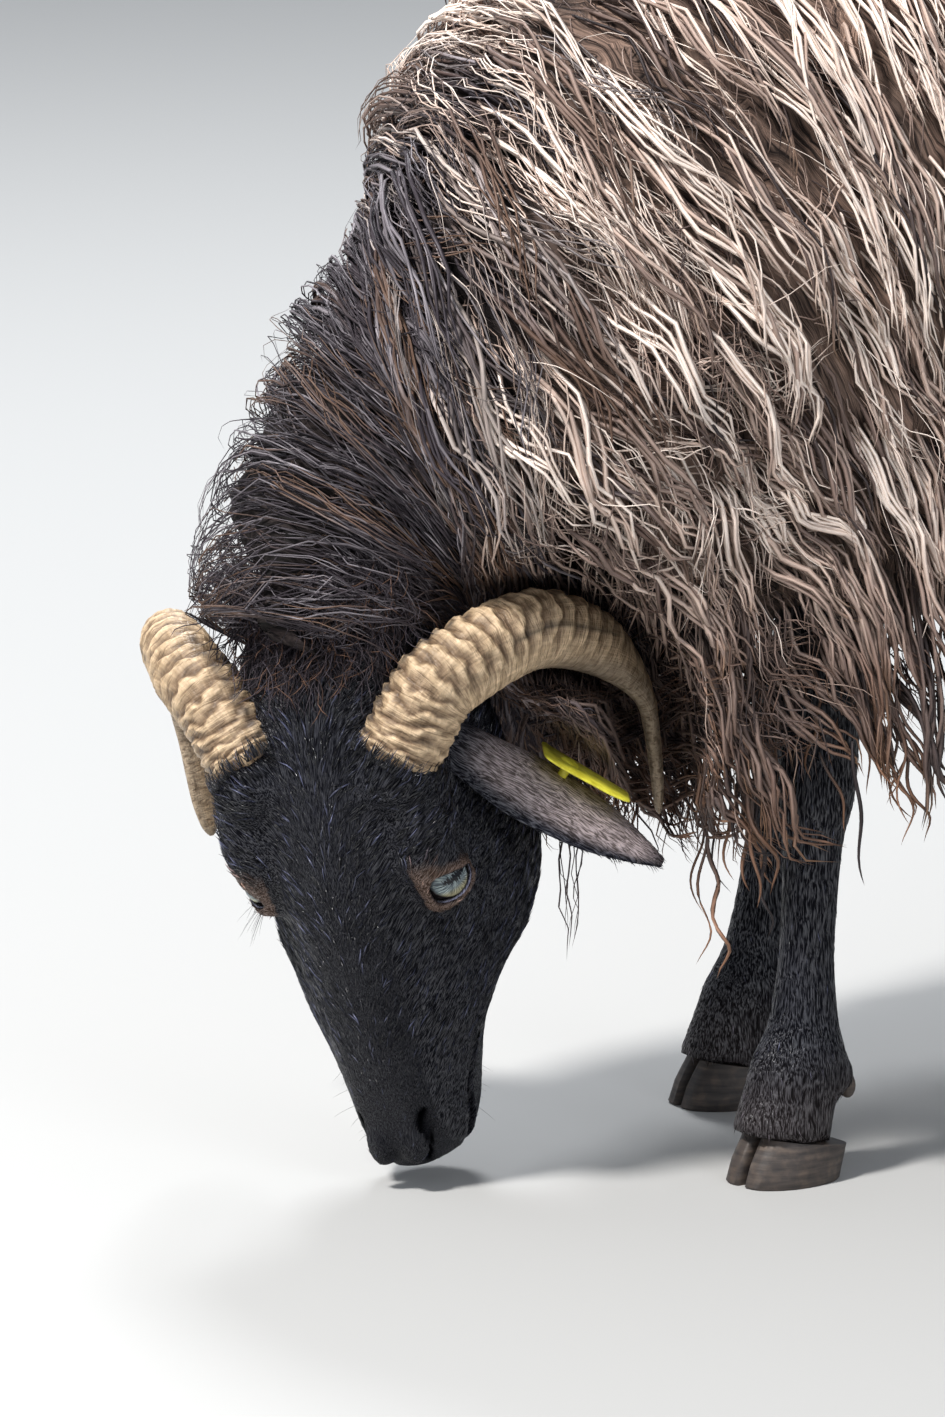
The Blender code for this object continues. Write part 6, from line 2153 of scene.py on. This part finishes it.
    def piece(
        self,
        name: str,
        rng: np.random.Generator,
        points: np.ndarray,
        facing: np.ndarray,
        ways: np.ndarray,
        length: np.ndarray,
        tints: np.ndarray,
        unwrap: np.ndarray,
    ) -> None:
        """Builds one piece of tufts.

        Args:
            name: the piece's name.
            rng: its chance.
            points, facing: the roots and the way the skin faces there.
            ways: which way each tuft lies.
            length: how long each is.
            tints: their colours.
            unwrap: the roots' places on the bake map.
        """
        flat = units(ways - (ways * facing).sum(1, keepdims=True) * facing)
        aside = np.cross(facing, flat)
        s = np.array((0.0, 0.50, 1.0))[None, :, None]
        size = length[:, None, None]
        bend = rng.normal(0, 0.14, len(points))[:, None, None]
        lift = rng.uniform(0.04, 0.15, len(points))[:, None, None]
        lines = points[:, None] + flat[:, None] * size * s + aside[:, None] * size * bend * s * s
        lines = lines + facing[:, None] * (size * lift * s * (1 - 0.30 * s) - 0.0003)
        width = np.clip(length * 0.085, 0.0004, 0.0009) * rng.uniform(0.8, 1.2, len(points))
        width = width[:, None] * np.array((0.9, 1.0, 0.2))[None]
        # Each tuft is painted darker at its root, painted shade against the skin, and a little lighter toward
        # its tip.
        shade = np.array((0.7, 1.0, 1.15))[None, :, None]
        colours = tints[:, None] * shade
        normals = np.broadcast_to(facing[:, None], lines.shape)
        strands = Strands(lines, normals, width, colours, unwrap, 0.55)
        placed(strands.object(name), SHORT, "short_hair")

    def whiskers(self, rng: np.random.Generator) -> None:
        """A few long thin hairs by the lids and on the lips."""
        roots, ways = [], []
        for side in SIDES.values():
            look, corner, up = (np.array(v) for v in eye_axes(side))
            for _ in range(14):
                turn = rng.uniform(-0.9, 0.9)
                low = rng.uniform(0.0105, 0.0145)
                at = np.array(eye_centre(side)) + corner * 0.012 * turn - up * low + look * 0.009
                roots.append(at)
                ways.append(look * 0.7 - up * rng.uniform(0.3, 0.9) + corner * turn * 0.6)
            for _ in range(16):
                u, n = rng.uniform(-0.075, -0.035), rng.uniform(0.205, 0.255)
                half = float(SKULL(n)[3])
                roots.append(np.array(HEAD.point(side * half, u, n)))
                way = HEAD.direction(side * 1.0, rng.normal(0.1, 0.3), rng.uniform(0.0, 0.6))
                ways.append(np.array(way))
        roots, ways = np.array(roots), np.array(ways)
        n = len(roots)
        length = rng.uniform(0.008, 0.020, n)
        s = np.linspace(0, 1, 8)[None, :, None]
        droop = np.array((0.0, 0.0, -0.004))
        lines = roots[:, None] + units(ways)[:, None] * length[:, None, None] * s + droop * s * s
        width = np.full((n, 8), 0.00026) * (1 - 0.7 * s[..., 0])
        tints = np.broadcast_to(np.array((0.05, 0.05, 0.055)), lines.shape)
        normals = np.broadcast_to(np.array(AXES[1]), lines.shape)
        unwrap = np.stack([np.linspace(0.05, 0.95, n), np.full(n, 0.5)], axis=1)
        thing = Strands(lines, normals, width, tints, unwrap, 1.0).object("whiskers")
        placed(thing, SHORT, "short_hair")


@dataclass
class Horn:
    """One horn: wavy ridges that fade toward a smooth flat tip."""

    name: str
    ridges: int = 27
    height: float = 0.0027
    rings: int = 330
    sides: int = 56

    def build(self) -> bpy.types.Object:
        """Builds the horn and colours its ridges."""
        side = SIDES[self.name]
        shares = np.concatenate([[-0.035], np.linspace(0.0, 0.999, self.rings)])
        values = HORN_LINE.many(np.clip(shares, 0, 1))
        rings, ridge_light = [], []
        for i, share in enumerate(np.clip(shares, 0, 1).tolist()):
            centre, along, inward, aside = horn_frame(side, share)
            if i == 0:
                centre = centre - along * 0.005
            twist = math.radians(-57) * float(eased(share, 0.50, 0.78))
            inward, aside = (
                inward * math.cos(twist) + aside * math.sin(twist),
                aside * math.cos(twist) - inward * math.sin(twist),
            )
            wide, thick = values[i][3] / 2, values[i][4] / 2
            close = math.sqrt(max(1 - max((share - 0.97) / 0.03, 0.0) ** 2, 0.0)) * (0.6 if i == 0 else 1.0)
            ring = []
            for k in range(self.sides):
                angle = 2 * math.pi * k / self.sides
                ridge, tone = self.ridge(share, angle)
                c, s = oval(angle, HORN_POWER)
                reach_in, reach_aside = (wide + ridge) * close, (thick + ridge) * close
                ring.append(centre + inward * (reach_in * c) + aside * (reach_aside * s))
                ridge_light.append(tone)
            rings.append(ring)
        thing = plain_mesh("horn_look_" + self.name, wrapped(rings, with_uv=True))
        self.colour(thing, rings, np.array(ridge_light))
        return placed(thing, HornFinish(), "horn", "horn_" + self.name)

    def ridge(self, share: float, angle: float) -> tuple[float, float]:
        """How far a ridge stands out at a place of the horn, and how pale it is painted from 0 to 1: pale on
        the crown and dark in the groove, a painted highlight and shade.
        """
        fade = (1 - float(eased(share, 0.35, 0.80))) * 0.92 + 0.08
        foot = 1 - float(eased(share, 0.06, 0.24))
        outer = max(float(eased(-math.cos(angle), -0.40, 0.25)), 0.62 * foot)
        wander = 0.20 * math.sin(angle * 2 + 9 * share) + 0.16 * math.sin(angle * 3 - 31 * share)
        wander += 0.11 * math.sin(angle * 7 + 60 * share) + 0.08 * math.sin(angle * 11 - 90 * share)
        wander *= 0.35 + 0.45 * fade + 0.45 * foot
        count = self.ridges * (share**0.90)
        part = (count + wander) % 1.0
        saw = part / 0.72 if part < 0.72 else (1 - part) / 0.28
        crown = saw * saw * (3 - 2 * saw) * 0.5 + saw * 0.5
        uneven = 1 + 0.38 * math.sin(37 * share + 1.5 * math.sin(angle)) * math.sin(angle * 2 + 5)
        strength = self.height * fade * (0.10 + 0.90 * outer) * uneven * (1 - 0.25 * foot)
        fine = 0.00022 * math.sin(angle * 17 + 140 * share) * fade
        crease = math.sin(14.5 * count + 2.6 * math.sin(3 * angle + 1.3)) * math.sin(5 * angle + 55 * share)
        return strength * (crown - 0.6) + fine + 0.00050 * foot * crease, crown

    def colour(self, thing: bpy.types.Object, rings: Sequence[Sequence[Vector]], ridge_light: np.ndarray) -> None:
        """Paints crowns pale and grooves dark, a painted highlight and shade on the ribs, a dark line round
        the outer bend, the tip grey-tan.
        """
        points = coordinates(thing.data)
        flat = np.array([tuple(p) for ring in rings for p in ring])
        keys = {tuple(np.round(p, 5)): i for i, p in enumerate(flat)}
        index = np.array([keys.get(tuple(np.round(p, 5)), -1) for p in points])
        for at in np.nonzero(index < 0)[0]:
            index[at] = int(np.argmin(((flat - points[at]) ** 2).sum(1)))
        tone = ridge_light[index]
        sides = self.sides
        share = np.clip((index // sides) / len(rings), 0, 1)
        angle = 2 * math.pi * (index % sides) / sides
        pale, deep = np.array((0.69, 0.53, 0.365)), np.array((0.155, 0.100, 0.062))
        grey = np.array((0.43, 0.345, 0.26))
        fade = 1 - eased(share, 0.40, 0.90)
        ribbed = np.maximum(eased(-np.cos(angle), -0.40, 0.25), 0.7 * (1 - eased(share, 0.06, 0.24)))
        # Pale crowns and dark grooves are painted highlight and painted shade on the ribs.
        colours = deep + (pale - deep) * (1 - (1 - tone) * (0.20 + 0.80 * fade * ribbed))[:, None]
        inner = eased(np.cos(angle), 0.1, 0.8) * eased(share, 0.25, 0.6)
        colours = colours + (grey - colours) * np.maximum(inner, 0.45 * eased(share, 0.7, 1.0))[:, None]
        line = np.exp(-(((angle - math.pi * 1.38) / 0.085) ** 2)) * eased(share, 0.30, 0.36)
        colours = colours * (1 - 0.80 * line * (1 - eased(share, 0.58, 0.63)))[:, None]
        edge = np.exp(-(((angle - math.pi * 0.86) / 0.17) ** 2)) * (1 - eased(share, 0.24, 0.42))
        edge = edge * (0.62 + 0.38 * np.sin(share * 210 + angle * 3))
        colours = colours + (np.array((0.070, 0.066, 0.072)) - colours) * (0.85 * edge)[:, None]
        painted(thing.data, colours)


@dataclass
class Eye:
    """An eyeball with a slightly raised clear front."""

    name: str
    bulge: float = 0.0009

    def build(self) -> bpy.types.Object:
        """Builds the eye with a map centred on its iris."""
        side = SIDES[self.name]
        look, corner, up = eye_axes(side)
        centre = eye_centre(side)
        bm = ball(centre, [EYE_RADIUS] * 3, (corner, up, look), 48)
        layer = bm.loops.layers.uv.new("strand")
        for vert in bm.verts:
            out = (vert.co - centre).normalized()
            front = max(out.dot(look), 0.0)
            vert.co += out * (self.bulge * float(eased(front, 0.62, 0.95)) - 0.0002)
        for face in bm.faces:
            for loop in face.loops:
                away = (loop.vert.co - centre) / EYE_RADIUS
                behind = 2.0 if away.dot(look) < 0 else 1.0
                loop[layer].uv = (away.dot(corner) * 1.12 * behind, away.dot(up) * 1.12 * behind)
        thing = plain_mesh("eyeball_" + self.name, bm)
        return placed(thing, EyeFinish(), "eye", "eye_" + self.name)


SOLE = (
    (0.00, -0.80),
    (0.22, -0.98),
    (0.55, -0.86),
    (0.88, -0.45),
    (1.00, 0.05),
    (0.96, 0.55),
    (0.72, 0.90),
    (0.30, 0.98),
    (0.00, 0.80),
)


@dataclass
class Hoof:
    """One of the two hooves of a foot, flat underneath and ending along the hair line."""

    leg: str
    side: float

    @property
    def node(self) -> str:
        """The solid that it stands for."""
        word = "left" if self.side > 0 else "right"
        return f"hoof_{self.leg.split('leg_')[0]}_{self.leg.split('_')[1]}_{word}"

    def build(self) -> bpy.types.Object:
        """Builds the hoof with a rounded edge and a slight swelling at the hair line."""
        x, y = FEET[self.leg]
        turn = Matrix.Rotation(math.radians(FOOT_TURN[self.leg]), 3, "Z")
        rings = []
        rows = ((0.0, 0.965, 0.0), (0.0012, 0.995, 0.0), (0.006, 0.990, 0.0015), (0.012, 0.985, 0.0035))
        rows += ((0.018, 0.960, 0.0062), (0.024, 0.935, 0.0092))
        rows += ((0.0285, 0.915, 0.0112), (HOOF_HEIGHT, 0.87, 0.0125))
        for height, size, shift in rows:
            ring = []
            for out, back in SOLE:
                place = (
                    self.side * (HOOF_SPLIT / 2 + out * HOOF_WIDTH * size),
                    back * HOOF_LENGTH / 2 * size + shift,
                    height,
                )
                ring.append(Vector((x, y, 0.0)) + turn @ Vector(place))
            rings.append(rounded(ring, 36))
        bm = cut_off(wrapped(rings), Vector((x, y, CORONET - 0.0004)), HAIR_LINE)
        thing = plain_mesh(self.node.replace("hoof", "claw"), bm)
        thing.data.set_sharp_from_angle(angle=math.radians(50))
        return placed(thing, HoofFinish(), "hoof", self.node)


@dataclass
class Dewclaws:
    """The small horn claws behind each fetlock."""

    places: Sequence[Vector]

    def build(self) -> bpy.types.Object:
        """Builds them all as one piece."""
        parts = [
            plain_mesh("dewclaw", ball(at, (0.0048, 0.0042, 0.0070), Matrix.Identity(3), 16))
            for at in self.places
        ]
        return placed(merged(parts, "dewclaws"), HoofFinish(), "hoof")


@dataclass
class EarTag:
    """A bare yellow plate on the back of the left ear, with its stud and the disc inside the ear."""

    share: float = 0.50
    across: float = -0.012
    size: tuple[float, float, float] = (0.052, 0.034, 0.0014)
    lift: float = 0.0075
    stud: float = 0.0026
    tilt: tuple[float, float] = (0.980, -0.199)

    def build(self) -> bpy.types.Object:
        """Builds the tag."""
        middle, run, across, back = ear_frame("left", self.share)
        half, cup, _ = EAR(self.share)
        x = self.across / half
        at = middle + across * self.across + back * (cup * (0.5 - x * x))
        facing = (back + across * (2 * cup * x / half)).normalized()
        wide = facing.cross(run).normalized()
        long, broad, thick = self.size
        rings = []
        turned, turn = self.tilt
        wide, plate = wide * turned + facing * turn, facing * turned - wide * turn
        for height, size in ((0.0, 0.97), (0.25, 1.0), (0.75, 1.0), (1.0, 0.97)):
            ring = []
            for px, py in ovals(56, 9.0):
                narrow = 1 - 0.22 * px
                place = run * (long * 0.5 * px * size + 0.010) + wide * (broad * 0.5 * py * narrow * size)
                bend = plate * (0.0012 * (px * px - 0.3))
                ring.append(at + place + bend + facing * self.lift + plate * (thick * height))
            rings.append(ring)
        parts = [plain_mesh("plate", wrapped(rings))]
        pin = (self.lift + thick * 1.9, -0.0050, self.stud)
        cap = (self.lift + thick * 0.9, self.lift + thick * 1.8, 0.0055)
        for start, end, radius in (pin, (-0.0042, -0.0060, 0.0070), cap):
            parts.append(self.rod(at + facing * start, at + facing * end, radius, facing))
        thing = merged(parts, "ear_tag_look")
        thing.data.set_sharp_from_angle(angle=math.radians(45))
        return placed(thing, TagFinish(), "tag", "ear_tag")

    def rod(self, start: Vector, end: Vector, radius: float, along: Vector) -> bpy.types.Object:
        """A round bar with bevelled ends."""
        bm = bmesh.new()
        depth = (end - start).length
        bmesh.ops.create_cone(bm, cap_ends=True, segments=32, radius1=radius, radius2=radius, depth=depth)
        level = [e for e in bm.edges if abs(e.verts[0].co.z - e.verts[1].co.z) < 1e-9]
        rims = [e for e in level if len(e.link_faces) == 2]
        rims = [e for e in rims if abs(abs(e.verts[0].co.z) - depth / 2) < 1e-9]
        bmesh.ops.bevel(
            bm, geom=rims, offset=radius * 0.12, segments=2, profile=0.5, affect="EDGES", material=-1
        )
        turn = along.to_track_quat("Z", "Y").to_matrix().to_4x4()
        bmesh.ops.transform(bm, matrix=Matrix.Translation((start + end) / 2) @ turn, verts=bm.verts)
        return plain_mesh("rod", bm)


@dataclass
class Studio:
    """A plain pale floor, soft lamps and the camera at the photograph's angle."""

    azimuth: float = 55.0
    elevation: float = 12.0
    distance: float = 5.8
    aim: Vector = Vector((-0.0725, -0.1292, 0.237))
    focal: float = 1900 * 5.8 / 1417 * 36

    def build(self) -> None:
        """Builds the floor, the lamps and the camera."""
        self.floor()
        self.light()
        self.camera()

    def floor(self) -> None:
        """A wide pale floor."""
        bm = bmesh.new()
        bmesh.ops.create_grid(bm, x_segments=1, y_segments=1, size=40.0)
        floor = plain_mesh("floor", bm)
        floor.data.materials.append(FloorFinish().material())

    def light(self) -> None:
        """A high key lamp from the ewe's front left, a fill, a rim from behind and a pale world."""
        scene = bpy.context.scene
        world = bpy.data.worlds.new("studio")
        world.use_nodes = True
        ground = world.node_tree.nodes["Background"]
        ground.inputs["Color"].default_value = (0.80, 0.86, 0.95, 1.0)
        ground.inputs["Strength"].default_value = 0.50
        scene.world = world
        lamps = (
            ("key", (0.3, -2.5, 3.4), 0.6, 215.0, (1.0, 0.975, 0.95)),
            ("fill", (3.4, -0.2, 1.6), 1.6, 26.0, (0.93, 0.96, 1.0)),
            ("rim", (-2.4, 1.2, 3.2), 1.0, 110.0, (0.95, 0.97, 1.0)),
        )
        for name, at, size, power, colour in lamps:
            data = bpy.data.lights.new(name, "AREA")
            data.shape = "DISK"
            data.size = size
            data.energy = power
            data.color = colour
            lamp = bpy.data.objects.new(name, data)
            scene.collection.objects.link(lamp)
            lamp.location = Vector(at) + TO_ORIGIN
            lamp.rotation_euler = (Vector((0.0, 0.0, 0.35)) - Vector(at)).to_track_quat("-Z", "Y").to_euler()
        scene.view_settings.view_transform = "Standard"

    def camera(self) -> None:
        """The camera, far off with a long lens, so that the shapes keep the photograph's proportions."""
        a, e = math.radians(self.azimuth), math.radians(self.elevation)
        back = Vector((math.sin(a) * math.cos(e), -math.cos(a) * math.cos(e), math.sin(e)))
        data = bpy.data.cameras.new("camera")
        data.sensor_width = 36.0
        data.lens = self.focal
        data.clip_end = 200.0
        camera = bpy.data.objects.new("camera", data)
        bpy.context.scene.collection.objects.link(camera)
        camera.location = self.aim + TO_ORIGIN + back * self.distance
        camera.rotation_mode = "QUATERNION"
        camera.rotation_quaternion = (-back).to_track_quat("-Z", "Y")
        bpy.context.scene.camera = camera


def main() -> None:
    """Builds every piece in order."""
    logging.basicConfig(level=logging.INFO, format="%(message)s")
    skin = SkinPart()
    ShortHair(skin.build(), skin.counts).build()
    for name in SIDES:
        Horn(name).build()
        Eye(name).build()
    for leg in FEET:
        for side in SIDES.values():
            Hoof(leg, side).build()
    Dewclaws(skin.dewclaws).build()
    EarTag().build()
    Coat(Hide()).build()
    Studio().build()
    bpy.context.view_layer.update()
    meshes = [thing.data for thing in bpy.data.objects if thing.type == "MESH"]
    count = sum(len(p.vertices) - 2 for mesh in meshes for p in mesh.polygons)
    LOG.info("triangles in all: %d", count)


if __name__ == "__main__":
    main()
